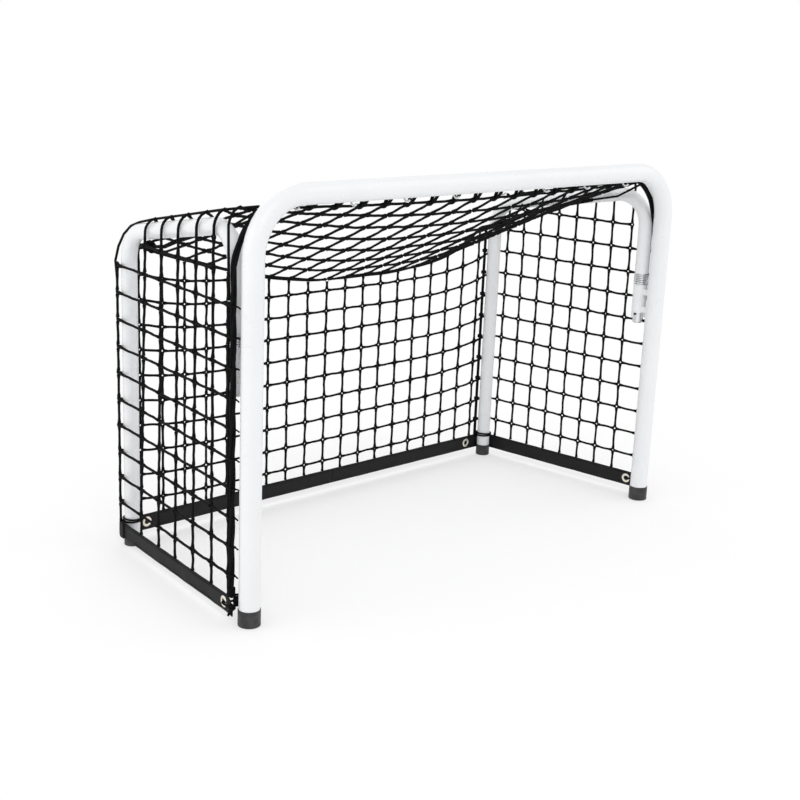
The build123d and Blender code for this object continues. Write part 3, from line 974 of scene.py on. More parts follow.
class RopeTree(Loom):
    """Three strands laid round each other along a path."""

    def __init__(self) -> None:
        """Build the tree."""
        super().__init__("rope", Radius=0.0023, Lay=0.0024, Pitch=0.19, Step=0.006, Seed=3)
        given = self.given
        curve = self.add("GeometryNodeMeshToCurve", {0: given["Geometry"]}).outputs[0]
        even = self.add("GeometryNodeResampleCurve", {0: curve, "Length": given["Step"]}, mode="LENGTH").outputs[0]
        way = self.add("GeometryNodeInputTangent").outputs[0]
        flat = self.add("GeometryNodeInputNormal").outputs[0]
        third = self.add("ShaderNodeVectorMath", {0: way, 1: flat}, operation="CROSS_PRODUCT").outputs[0]
        length = self.add("GeometryNodeSplineParameter").outputs[1]
        turn = self.math("MULTIPLY", self.math("DIVIDE", length, given["Pitch"]), math.tau)
        loose = self.math("MULTIPLY_ADD", self.noise(30.0, given["Seed"]).outputs["Fac"], 0.3, 0.85)
        lay = self.math("MULTIPLY", given["Lay"], loose)
        both = self.add("GeometryNodeJoinGeometry")
        for strand in range(3):
            angle = self.math("ADD", turn, strand * math.tau / 3)
            x = self.scaled(flat, self.math("MULTIPLY", lay, self.math("COSINE", angle)))
            y = self.scaled(third, self.math("MULTIPLY", lay, self.math("SINE", angle)))
            offset = self.add("ShaderNodeVectorMath", {0: x, 1: y}, operation="ADD").outputs[0]
            moved = self.add("GeometryNodeSetPosition", {0: even, "Offset": offset}).outputs[0]
            thick = self.math("MULTIPLY", given["Radius"], loose)
            self.group.links.new(self.tube(moved, thick, 8), both.inputs[0])
        self.close(both.outputs[0])


class StitchTree(Loom):
    """A row of stitches along a path, each a short piece of thread."""

    def __init__(self) -> None:
        """Build the tree."""
        super().__init__("stitches", Radius=0.0004, Length=0.0028, Pitch=0.0042)
        given = self.given
        curve = self.add("GeometryNodeMeshToCurve", {0: given["Geometry"]}).outputs[0]
        places = self.add("GeometryNodeResampleCurve", {0: curve, "Length": given["Pitch"]}, mode="LENGTH").outputs[0]
        way = self.add("GeometryNodeInputTangent").outputs[0]
        half = self.add("ShaderNodeCombineXYZ", {0: self.math("MULTIPLY", given["Length"], 0.5)}).outputs[0]
        start = self.add("ShaderNodeVectorMath", {0: half, "Scale": -1.0}, operation="SCALE").outputs[0]
        thread = self.add("GeometryNodeCurvePrimitiveLine", {"Start": start, "End": half}).outputs[0]
        body = self.tube(thread, given["Radius"], 5)
        aligned = self.add("FunctionNodeAlignRotationToVector", {"Vector": way}, axis="X").outputs[0]
        placed = self.add("GeometryNodeInstanceOnPoints", {0: places, "Instance": body, "Rotation": aligned})
        self.close(placed.outputs[0])


class CoilTree(Loom):
    """A coil spring that stands on the origin of its object, with flat closed ends."""

    def __init__(self) -> None:
        """Build the tree."""
        super().__init__("coil", Radius=0.001, Across=0.0234, Height=0.016, Turns=5.0, X=0.0, Y=0.0, Z=0.0)
        given = self.given
        half = self.math("MULTIPLY", given["Across"], 0.5)
        spiral = self.add(
            "GeometryNodeCurveSpiral",
            {
                "Resolution": 28,
                "Rotations": given["Turns"],
                "Start Radius": half,
                "End Radius": half,
                "Height": given["Height"],
            },
        )
        place = self.add("ShaderNodeCombineXYZ", {0: given["X"], 1: given["Y"], 2: given["Z"]}).outputs[0]
        moved = self.add("GeometryNodeSetPosition", {0: spiral.outputs[0], "Offset": place}).outputs[0]
        self.close(self.tube(moved, given["Radius"], 10))


@dataclass(frozen=True)
class Workshop:
    """The node trees and finishes that every piece is made with."""

    layout: Layout
    finishes: Finishes
    cords: CordTree
    net: NetTree
    rope: RopeTree
    stitches: StitchTree
    coil: CoilTree

    @classmethod
    def open(cls, frame: dict) -> Workshop:
        """Returns a workshop for the loaded frame."""
        return cls(
            Layout.measure(frame), Finishes.make(), CordTree(), NetTree(), RopeTree(), StitchTree(), CoilTree()
        )


def carried(piece: Object, slot: str, body: str, *nodes: str) -> None:
    """Let a finished piece ride on a body.

    Args:
        piece: The piece.
        slot: The record's material slot. Not used.
        body: The body.
        nodes: The CAD nodes that it replaces.
    """
    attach(piece, body)
    declared(piece, slot, *nodes)


def declared(piece: Object, slot: str, *nodes: str) -> None:
    """Hide the CAD nodes that a piece replaces, and log it."""
    if nodes:
        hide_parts(*nodes)
    LOG.info("%s: %d faces", piece.name, len(piece.data.polygons))


# Sub-assemblies


@dataclass(frozen=True)
class TubeWork:
    """The tubes, feet and swivels, which keep their CAD shapes."""

    shop: Workshop
    slots: dict[str, str]

    @classmethod
    def read(cls, shop: Workshop, frame: dict) -> TubeWork:
        """Returns the sub-assembly with each node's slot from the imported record."""
        rows = frame["record"]["subparts"]
        return cls(shop, {row["node"]: row["material_slot"] for row in rows})

    def dress(self, frame: dict) -> None:
        """Give every CAD node its finish.
        """
        for name, node in frame["nodes"].items():
            material = self.shop.finishes[self.slots[name]]
            if not node.material_slots:
                node.data.materials.append(material)
            for place in node.material_slots:
                place.material = material
            LOG.info("%s: %s", name, material.name)


@dataclass(frozen=True)
class Netting:
    """The one net over both sides, the roof and the back, cut where the folding bows bend it."""

    shop: Workshop
    columns: int = 20
    rows: int = 7
    row_pitch: float = 0.0414
    first_row: float = 0.0703
    trim: float = 0.0036
    middle_heights: tuple[float, ...] = (0.057, 0.096, 0.135, 0.174, 0.2128, 0.2517, 0.2905, 0.3269, 0.3628)
    row_power: float = 5.0
    tops: dict[Side, tuple[float, ...]] = field(
        default_factory=lambda: {
            Side.LEFT: (-0.004, 0.035, 0.082, 0.134, 0.184, 0.234),
            Side.RIGHT: (-0.0088, 0.036, 0.075, 0.1126, 0.151, 0.189, 0.227, 0.265, 0.300),
        }
    )
    roof_ends: dict[Side, tuple[float, ...]] = field(
        default_factory=lambda: {
            Side.LEFT: (-0.0088, -0.004, 0.035, 0.082, 0.134, 0.184, 0.234, 0.290),
            Side.RIGHT: (-0.0088, 0.022, 0.067, 0.113, 0.158, 0.203, 0.248, 0.290),
        }
    )
    feet: dict[Side, tuple[float, ...]] = field(
        default_factory=lambda: {
            Side.LEFT: (-0.0088, 0.0394, 0.0942, 0.1478, 0.2008, 0.2584),
            Side.RIGHT: (-0.0088, 0.036, 0.075, 0.1126, 0.151, 0.189, 0.227, 0.265, 0.303),
        }
    )

    def side_place(self, side: Side, column: int, z: float) -> tuple[float, float]:
        """Where an upright cord of a side net is.

        Args:
            side: Which side.
            column: Its number from the front; the last one runs down the rear corner.
            z: Height.

        Returns:
            Its distance behind the swivel's axis and its height there.
        """
        lay = self.shop.layout
        feet, tops = self.feet[side], self.tops[side]
        if column == len(feet):
            return lay.net_rear - 0.010 * max(0.0, (z - 0.42) / 0.08) ** 2, z
        top_z = lay.rail_height(tops[column])
        share = max(0.0, min(1.0, (z - lay.band_high) / (top_z - lay.band_high)))
        return feet[column] + (tops[column] - feet[column]) * share, z

    def draw_side(self, side: Side) -> Draft:
        """Returns the cords of one side net, up to the rail."""
        lay = self.shop.layout
        draft = Draft()
        facing = lay.outwards(side)
        last = len(self.feet[side])
        knots: dict[tuple[int, int], Vector] = {}
        for column in range(last + 1):
            along, z = self.side_place(side, column, lay.band_high - 0.003)
            below = lay.by_bow(side, along, lay.net_out - 0.0004, z)
            for row in range(12):
                along, z = self.side_place(side, column, self.first_row + self.row_pitch * row)
                limit = {0: 0.475, last: 0.455}.get(column, lay.rail_height(along) - 0.008)
                if z > limit:
                    break
                place = lay.by_bow(side, along, lay.net_out, z)
                knots[column, row] = place
                draft.knot(place, facing)
                draft.span(below, place, self.trim)
                below = place
            if column == 0 and side is Side.RIGHT:
                edge = Vector((side.value * 0.444, lay.front_y + lay.rope_behind + 0.004, 0.5))
                draft.line([below.lerp(edge, share / 3) for share in range(4)])
            elif column < last:
                top = self.tops[side][column]
                chain = [below.lerp(lay.over_rail(side, top, 0.0), share) for share in (0.06, 0.35, 0.7)]
                chain.extend(lay.over_rail(side, top - 0.004 * turn / 5, turn / 5) for turn in range(6))
                draft.line(chain)
        for (column, row), place in knots.items():
            after = knots.get((column + 1, row))
            if after is not None:
                draft.span(place, after, self.trim, sag=0.0004)
        return draft

    def roof_share(self, across: float, row: int) -> float:
        """How far back a row of the roof net lies at a place across it, from 0 to 1."""
        lay = self.shop.layout
        side = Side.LEFT if across < 0 else Side.RIGHT
        place = lay.by_bow(side, self.roof_ends[side][row], 0, 0)
        edge = (place.y - lay.roof_front_y) / (lay.rear_y - lay.roof_front_y)
        middle = row / self.rows
        return middle + (edge - middle) * abs(across) ** 3 if row not in (0, self.rows) else middle

    def roof_place(self, column: int, row: int) -> Vector:
        """A knot of the roof net. Its outermost columns end at the rope, on the rails and in the bunches."""
        lay = self.shop.layout
        if column in (0, self.columns):
            side = Side.LEFT if column == 0 else Side.RIGHT
            if row == 0:
                return lay.rope_corner(side)
            if row == self.rows:
                return lay.bunch(side)
            return lay.over_rail(side, self.roof_ends[side][row], 1.0)
        across = 2 * column / self.columns - 1
        return lay.on_roof(across, self.roof_share(across, row))

    def draw_roof(self) -> Draft:
        """Returns the cords of the roof net and of its rear seam."""
        draft = Draft()
        places = {
            (column, row): self.roof_place(column, row)
            for column in range(self.columns + 1)
            for row in range(self.rows + 1)
        }
        for (column, row), place in places.items():
            inner = 0 < column < self.columns
            if inner and row > 0:
                ahead = place - places[column, row - 1]
                draft.knot(place, (places[column + 1, row] - places[column - 1, row]).cross(ahead))
            if column < self.columns:
                draft.span(place, places[column + 1, row], self.trim, sag=0.0005)
            if inner and row < self.rows:
                draft.span(place, places[column, row + 1], self.trim, sag=0.0004)
        return draft

    def seam_path(self, side: Side) -> Chain:
        """Returns half of the rear seam, from the middle to the bunch at its corner."""
        lay = self.shop.layout
        path = []
        for number in range(19):
            x = side.value * (lay.still_half + (0.362 - lay.still_half) * number / 18)
            path.append(Vector((x, lay.rear_y - 0.003, lay.seam_height(x))))
        bunch = lay.bunch(side)
        path.extend(path[-1].lerp(bunch, share / 3) for share in (1, 2, 3))
        return path

    def rail_path(self, side: Side) -> Chain:
        """Returns the line of the gathered roof edge, from its bunch along the rail's inner face to the rope."""
        lay = self.shop.layout
        path = [lay.bunch(side)]
        for along, drop in ((0.24, 0.024), (0.20, 0.017), (0.15, 0.011), (0.10, 0.006), (0.05, 0.003)):
            path.append(lay.by_bow(side, along, lay.bunch_out, lay.rail_height(along) - drop))
        path.append(lay.rope_corner(side) + Vector((0, 0.004, -0.003)))
        return path

    def top_path(self, side: Side) -> Chain:
        """Returns the line of the cord round a bow's rear bend and along the top of its rail to the rope."""
        lay = self.shop.layout
        path = [lay.by_bow(side, lay.net_rear, lay.net_out, z) for z in (lay.band_high - 0.003, 0.16, 0.28, 0.38, 0.42)]
        bend = 0.050
        reach = (lay.rear_post_y - lay.axis_y) / math.cos(lay.toe)
        for degrees in (0, 20, 40, 60, 78):
            angle = math.radians(degrees)
            along = reach - bend + (bend + 0.0145) * math.cos(angle)
            z = lay.rail_rear - bend + 0.007 + (bend + 0.0145) * math.sin(angle)
            path.append(lay.by_bow(side, along, lay.net_out * (1 - 0.9 * degrees / 78), z))
        path.extend(lay.over_rail(side, along, 1.0) for along in (0.24, 0.20, 0.16, 0.12, 0.08, 0.04))
        path.append(lay.rope_corner(side) + Vector((0, 0.002, 0.002)))
        return path

    def bundle(self, path: Chain, spread: float, cords: int, seed: int) -> Draft:
        """Several cords that run loosely side by side.

        Args:
            path: The line that they share.
            spread: How far they lie from it.
            cords: How many there are.
            seed: What their places are picked from.

        Returns:
            Them.
        """
        chance = random.Random(seed)
        draft = Draft()
        for number in range(cords):
            start, twist = math.tau * number / cords, chance.uniform(0.25, 0.45)
            chain = []
            for step, place in enumerate(path):
                angle = start + twist * step
                wide = spread * (0.75 + 0.25 * math.sin(step * 0.9 + number * 2.1))
                chain.append(place + Vector((0, math.cos(angle), math.sin(angle))) * wide)
            draft.line(chain)
        return draft

    def borders(self, side: Side) -> None:
        """Make and dress the gathered cords along the seam, the rail and the corner of one side."""
        lay, cords = self.shop.layout, self.shop.cords
        cord = self.shop.finishes["black_cord"]
        sign = side.value
        seam = self.bundle(self.seam_path(side), 0.0022, 2, 40 + sign)
        thick = self.bundle(self.seam_path(side)[14:], 0.0020, 1, 50 + sign)
        for line in thick.chains():
            seam.line(line)
        piece = cords.run(seam.model(f"{side.label}_seam_cords"), cord, Radius=0.0018, Waver=0.001)
        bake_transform(piece)
        declared(piece, "black_cord")
        edge = self.bundle(self.rail_path(side)[:5], 0.0022, 2, 60 + sign)
        edge.line(self.rail_path(side)[4:])
        edge.line(self.top_path(side))
        piece = cords.run(edge.model(f"{side.label}_rail_cords"), cord, Radius=0.0019)
        lay.rope_corner(side)
        lay.by_bow(side, 0.05, 0.0, 0.5655)
        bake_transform(piece)
        declared(piece, "black_cord")
        upright = Draft()
        foot = Vector((sign * 0.3875, lay.rear_y - 0.002, lay.band_high - 0.003))
        top = lay.bunch(side)
        for shift in (-0.0013, 0.0013):
            aside = Vector((shift, 0, 0))
            upright.line([foot + aside, Vector((foot.x, foot.y, top.z - 0.012)) + aside, top + aside])
        for row in range(9):
            z = self.first_row + self.row_pitch * row
            for lean in (-0.0012, 0.0014):
                ring = [
                    Vector((foot.x, foot.y, z + lean))
                    + Vector((math.cos(math.tau * step / 10), math.sin(math.tau * step / 10), 0.3 * lean * step)) * 0.0034
                    for step in range(10)
                ]
                upright.line(ring, closed=True)
        piece = cords.run(upright.model(f"{side.label}_corner_cord"), cord, Radius=0.0019)
        carried(piece, "black_cord", side.swivel)

    def back_height(self, row: int, x: float) -> float:
        """Height of a row of the back net at a place across it."""
        post = self.first_row + self.row_pitch * row
        middle = self.middle_heights[min(row, len(self.middle_heights) - 1)] + 0.036 * max(
            0, row + 1 - len(self.middle_heights)
        )
        share = (abs(x) / self.shop.layout.back_half) ** self.row_power
        return middle + (post - middle) * share

    def draw_back(self) -> Draft:
        """Returns the cords of the back net, from the band up to the seam."""
        lay = self.shop.layout
        draft = Draft()
        facing = Vector((0, 1, 0))
        pitch = 2 * lay.back_half / self.columns
        corners = (0, self.columns)
        knots: dict[tuple[int, int], Vector] = {}
        for column in range(self.columns + 1):
            x = -lay.back_half + pitch * column
            if column in corners:
                x += math.copysign(0.003, -x)
            below = Vector((x, lay.rear_y - 0.0004, lay.band_high - 0.003))
            top = lay.seam_height(x)
            for row in range(12):
                z = self.back_height(row, x)
                if z > top - 0.010:
                    break
                place = Vector((x, lay.rear_y, z))
                knots[column, row] = place
                if column not in corners:
                    draft.knot(place, facing)
                    draft.span(below, place, self.trim)
                below = place
            if column not in corners:
                draft.span(below, Vector((x, lay.rear_y, top)), self.trim)
        for (column, row), place in knots.items():
            after = knots.get((column + 1, row))
            if after is not None:
                draft.span(place, after, self.trim, sag=0.0003)
            for step in (-1, 1):
                beside = column + step
                if (beside, row) in knots or not 0 <= beside <= self.columns or row < len(self.middle_heights) - 1:
                    continue
                draft.span(place, self.seam_crossing(place, step, pitch), self.trim)
        return draft

    def seam_crossing(self, place: Vector, step: int, pitch: float) -> Vector:
        """Where a row that starts at a knot meets the seam, within one column to a side."""
        lay = self.shop.layout
        for part in range(1, 21):
            x = place.x + step * pitch * part / 20
            z = self.back_height(self.row_of(place), x)
            if z > lay.seam_height(x):
                return Vector((x, lay.rear_y, z))
        return place

    def row_of(self, place: Vector) -> int:
        """The number of the back net's row that a knot is on."""
        return min(range(12), key=lambda row: abs(self.back_height(row, place.x) - place.z))

    def build(self) -> None:
        """Make, cut and dress the netting."""
        lay, shop = self.shop.layout, self.shop
        cord = shop.finishes["black_cord"]
        for side in Side:
            name = f"{side.label}_side_netting"
            piece = shop.net.run(self.draw_side(side).model(name), cord, Seed=11 + side.value)
            carried(piece, "black_cord", side.swivel, f"{side.label}_side_net")
        roof = shop.net.run(self.draw_roof().model("roof_netting"), cord, Seed=5)
        back = shop.net.run(self.draw_back().model("back_netting"), cord, Seed=8)
        front, rear = lay.roof_front_y, lay.rear_y
        middle_cuts = []
        for side in Side:
            sign = side.value
            held = (sign * lay.held_x, front)
            still = (sign * lay.still_half, rear)
            far = (sign * lay.turning_half, rear)
            inner = self.cut_line(held, still, sign)
            outer = self.cut_line(held, far, sign)
            middle_cuts.append(inner)
            panel = clipped(roof, f"{side.label}_roof_netting", [(inner[0], -inner[1]), outer])
            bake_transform(panel)
            declared(panel, "black_cord", "top_net")
            strip = clipped(roof, f"{side.label}_rail_netting", [(outer[0], -outer[1])])
            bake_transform(strip)
            declared(strip, "black_cord", "top_net")
            cut = Vector((lay.still_half, 0, 0))
            half = clipped(back, f"{side.label}_back_netting", [(cut, Vector((-sign, 0, 0)))])
            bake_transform(half)
            declared(half, "black_cord", "back_net")
        middle = clipped(roof, "middle_roof_netting", middle_cuts)
        carried(middle, "black_cord", "goal_frame", "top_net")
        for whole in (roof, back):
            bpy.data.objects.remove(whole)
        for side in Side:
            self.borders(side)

    def cut_line(
        self, first: tuple[float, float], second: tuple[float, float], sign: int
    ) -> tuple[Vector, Vector]:
        """An upright cut through two places, and the way across it towards one side."""
        run = Vector((second[0] - first[0], second[1] - first[1], 0)).normalized()
        away = Vector((run.y, -run.x, 0))
        if away.x * sign < 0:
            away = -away
        return Vector((*first, 0)), away


@dataclass(frozen=True)
class MouthRope:
    """The gathered edge of the net: a laid rope, and the cord that laces the net to it."""

    shop: Workshop
    side_x: float = 0.451
    top_z: float = 0.572
    left_bend: tuple[float, float] = (0.075, 0.088)
    right_bend: tuple[float, float] = (0.085, 0.150)
    low: float = 0.0385
    lacing: float = 0.0012

    def path(self) -> Chain:
        """Returns the rope's centreline, from the left foot over the top to the right foot."""
        return self.half_path(Side.LEFT, self.left_bend) + self.half_path(Side.RIGHT, self.right_bend)[::-1]

    def half_path(self, side: Side, size: tuple[float, float]) -> Chain:
        """Half of the rope's centreline, from a foot to the crossbar.

        Args:
            side: Which half.
            size: Width and height of its bend.

        Returns:
            Its points.
        """
        y = self.shop.layout.front_y + self.shop.layout.rope_behind
        bend, drop = size
        half = [Vector((side.value * self.side_x, y, self.low))]
        for step in range(13):
            angle = math.pi / 2 * step / 12
            x = self.side_x - bend + bend * math.cos(angle)
            half.append(Vector((side.value * x, y, self.top_z - drop + drop * math.sin(angle))))
        return half

    def loop(self, middle: Vector, across: Vector, lift: Vector, reach: float, height: float) -> Chain:
        """An egg-shaped turn of lacing, narrow at the net's edge.

        Args:
            middle: Its middle.
            across: Unit way from the rope to the net's edge.
            lift: Unit way along which its ends are apart.
            reach: Half its length.
            height: Half its width at right angles to both.

        Returns:
            Its points.
        """
        third = across.cross(lift).normalized()
        chain = []
        for step in range(15):
            angle = math.tau * step / 14
            narrow = 1 - 0.5 * (1 + math.cos(angle)) / 2
            turn = across * math.cos(angle) * reach + third * math.sin(angle) * height * narrow
            chain.append(middle + turn + lift * (0.0035 * (step / 14 - 0.5)))
        return chain

    def build(self) -> None:
        """Make and dress the rope, its end bindings and its lacing."""
        shop, lay = self.shop, self.shop.layout
        cord = shop.finishes["black_cord"]
        draft = Draft()
        draft.line(self.path())
        rope = shop.rope.run(draft.model("mouth_rope_strands"), cord)
        carried(rope, "black_cord", "goal_frame", "mouth_rope")
        y = lay.front_y + lay.rope_behind
        chance = random.Random(4)
        for side in Side:
            edge_y = lay.by_bow(side, lay.net_front, lay.net_out, 0).y
            draft = Draft()
            across = Vector((0, 1, 0))
            post_way = Vector((lay.post_x - self.side_x, 0, 0)) * side.value + Vector((0, lay.front_y - y, 0))
            for number in range(10):
                z = 0.0703 + 0.0414 * number
                middle = Vector((side.value * self.side_x, (y + edge_y) / 2 - 0.001, z))
                reach = (edge_y - y) / 2 + 0.0048
                draft.line(self.loop(middle, across, Vector((0, 0, 1)), reach, 0.0056))
                start = middle - across * reach + Vector((0, 0, 0.001))
                end = start + post_way * chance.uniform(0.20, 0.27) + Vector((0, 0, chance.uniform(-0.004, -0.001)))
                draft.line([start, start.lerp(end, 0.5) + Vector((0, 0, 0.0006)), end])
            lacing = shop.cords.run(draft.model(f"{side.label}_edge_lacing"), cord, Radius=self.lacing)
            start = Vector((side.value * self.side_x, y, 0))
            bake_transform(lacing)
            declared(lacing, "black_cord")
            draft = Draft()
            for turn in range(5):
                ring = [
                    Vector((side.value * self.side_x, y, self.low + 0.003 + 0.0024 * turn))
                    + Vector((math.cos(math.tau * step / 12), math.sin(math.tau * step / 12), 0)) * 0.0048
                    for step in range(12)
                ]
                draft.line(ring, closed=True)
            binding = shop.cords.run(draft.model(f"{side.label}_rope_binding"), cord, Radius=0.0012)
            carried(binding, "black_cord", "goal_frame")
        draft = Draft()
        for number in range(-8, 9):
            front = lay.on_roof(number / 10, 0.0)
            rope = Vector((front.x, y, self.top_z))
            across = (front - rope).normalized()
            reach = (front - rope).length / 2 + 0.0058
            for turn in (-0.0013, 0.0013):
                middle = (rope + front) / 2 + Vector((turn, 0, 0))
                draft.line(self.loop(middle, across, Vector((1, 0, 0)), reach, 0.0056))
        lacing = shop.cords.run(draft.model("crossbar_lacing"), cord, Radius=0.0018)
        carried(lacing, "black_cord", "goal_frame")


@dataclass(frozen=True)
class Hem:
    """The webbing along the net's foot, with its two rows of stitches."""

    shop: Workshop
    thickness: float = 0.002
    lead: float = -0.019
    taper: float = 0.012
    step: float = 0.006
    stitch_inset: float = 0.0035

    def strip(self, name: str, places: list[tuple[Vector, Vector, float, float]]) -> Object:
        """A strip of webbing along a line.

        Args:
            name: The piece's name.
            places: For each place along it, a point on its inner face at floor level, the way
                that it faces, and its lowest and highest edge.

        Returns:
            The strip, a closed mesh whose UV map is in metres.
        """
        rows = 7
        points: Chain = []
        travelled = [0.0]
        for (here, *_), (there, *_) in zip(places, places[1:]):
            travelled.append(travelled[-1] + (there - here).length)
        ring = []
        for number in range(rows + 1):
            ring.append((number / rows, 0.0 if 0 < number < rows else 0.25))
        for number in reversed(range(rows + 1)):
            ring.append((number / rows, 1.0 if 0 < number < rows else 0.75))
        for distance, (foot, way, low, high) in zip(travelled, places):
            ripple = 0.00022 * math.sin(distance * 61) + 0.00018 * math.sin(distance * 143 + 1)
            for share, depth in ring:
                crown = 0.00025 * math.sin(math.pi * share)
                out = self.thickness * depth + ripple + (crown if depth > 0.5 else -crown * 0.4)
                points.append(foot + way * out + Vector((0, 0, low + (high - low) * share)))
        count = len(ring)
        faces = []
        for place in range(len(places) - 1):
            for corner in range(count):
                after = (corner + 1) % count
                here, there = place * count, (place + 1) * count
                faces.append((here + corner, here + after, there + after, there + corner))
        faces.append(tuple(reversed(range(count))))
        faces.append(tuple(range(len(points) - count, len(points))))
        piece = solid(name, points, faces)
        face_outwards(piece)
        lay = piece.data.uv_layers.new(name="UVMap")
        for loop in piece.data.loops:
            place, corner = divmod(loop.vertex_index, count)
            low, high = places[place][2:]
            lay.data[loop.index].uv = (travelled[place], (high - low) * ring[corner][0])
        piece.data.materials.append(self.shop.finishes["black_webbing"])
        return piece

    def stitch_rows(self, name: str, places: list[tuple[Vector, Vector, float, float]]) -> Object:
        """Rows of stitches on both faces of a strip, near its two edges."""
        draft = Draft()
        for depth in (0.00005, self.thickness + 0.0002):
            for inset in (self.stitch_inset, -self.stitch_inset):
                chain = []
                for foot, way, low, high in places[1:-1]:
                    z = low + inset if inset > 0 else high + inset
                    chain.append(foot + way * depth + Vector((0, 0, z)))
                draft.line(chain)
        return self.shop.stitches.run(draft.model(name), self.shop.finishes["black_cord"])

    def side_places(self, side: Side) -> list[tuple[Vector, Vector, float, float]]:
        """Returns the line of a side band, tapering at its front end."""
        lay = self.shop.layout
        way = lay.outwards(side)
        inner = lay.net_out - self.thickness
        places = []
        steps = round((lay.net_rear + 0.001 - self.lead) / self.step)
        for number in range(steps + 1):
            along = self.lead + (lay.net_rear + 0.001 - self.lead) * number / steps
            tip = max(0.0, 1 - (along - self.lead) / 0.014)
            high = lay.band_high - self.taper * tip**1.5
            places.append((lay.by_bow(side, along, inner, 0), way, lay.band_low - 0.002 * tip, high))
        return places

    def back_places(self, side: Side) -> list[tuple[Vector, Vector, float, float]]:
        """Returns the line of half the back band, which laps round the side band's end."""
        lay = self.shop.layout
        way = Vector((0, 1, 0))
        inner = lay.rear_y - 0.002
        bend = 0.0045
        reach = lay.back_half - bend
        cut = lay.still_half
        steps = round((reach - cut * side.value) / self.step)
        places = []
        for number in range(steps + 1):
            x = cut + (side.value * reach - cut) * number / steps
            places.append((Vector((x, inner, 0)), way, lay.band_low, lay.band_high))
        centre = Vector((side.value * reach, inner + self.thickness - bend, 0))
        for step in range(1, 7):
            angle = math.radians(90 - 6.5) * step / 6
            ray = Vector((side.value * math.sin(angle), math.cos(angle), 0))
            places.append((centre + ray * (bend - self.thickness), ray, lay.band_low, lay.band_high))
        ray = places[-1][1]
        ahead = Vector((side.value * ray.y, -abs(ray.x), 0))
        last = places[-1][0]
        for step in range(1, 4):
            places.append((last + ahead * (0.004 * step), ray, lay.band_low, lay.band_high))
        return places

    def build(self) -> None:
        """Make and dress the bands, their stitches and their eyelets."""
        for side in Side:
            places = self.side_places(side)
            band = self.strip(f"{side.label}_side_webbing", places)
            carried(band, "black_webbing", side.swivel, f"{side.label}_side_band")
            carried(self.stitch_rows(f"{side.label}_side_stitches", places), "black_cord", side.swivel)
            places = self.back_places(side)
            band = self.strip(f"{side.label}_back_webbing", places)
            stitches = self.stitch_rows(f"{side.label}_back_stitches", places)
            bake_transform(band)
            declared(band, "black_webbing", "back_band")
            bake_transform(stitches)
            declared(stitches, "black_cord")
            for place in ("front", "rear"):
                self.eyelet(side, place)

    def eyelet(self, side: Side, place: str) -> None:
        """Make and dress one eyelet: a rolled flange, its barrel and the washer behind it."""
        node = f"{side.label}_{place}_eyelet"
        low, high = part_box(node)
        centre = (Vector(low) + Vector(high)) / 2
        axis = self.shop.layout.outwards(side) if place == "front" else Vector((0, 1, 0))
        wide, hole, half = 0.00875, 0.004, self.thickness / 2
        face = 0.0014
        outline = [
            (hole, -half),
            (hole, half),
            (hole + 0.0005, half + face * 0.8),
            (hole + 0.0016, half + face),
            (hole + 0.0030, half + face * 0.75),
            (wide - 0.0006, half + 0.0004),
            (wide, half + 0.0001),
            (wide - 0.0003, half - 0.0001),
            (hole + 0.0010, half - 0.0001),
            (hole + 0.0010, -half + 0.0001),
            (wide - 0.0005, -half + 0.0001),
            (wide - 0.0002, -half - 0.0003),
            (wide - 0.0010, -half - 0.0007),
            (hole + 0.0018, -half - 0.0008),
            (hole + 0.0004, -half - 0.0006),
        ]
        ring = turned(f"{node}_ring", outline, centre, axis, 36)
        ring.data.materials.append(self.shop.finishes["nickelled_brass"])
        carried(ring, "nickelled_brass", side.swivel, node)


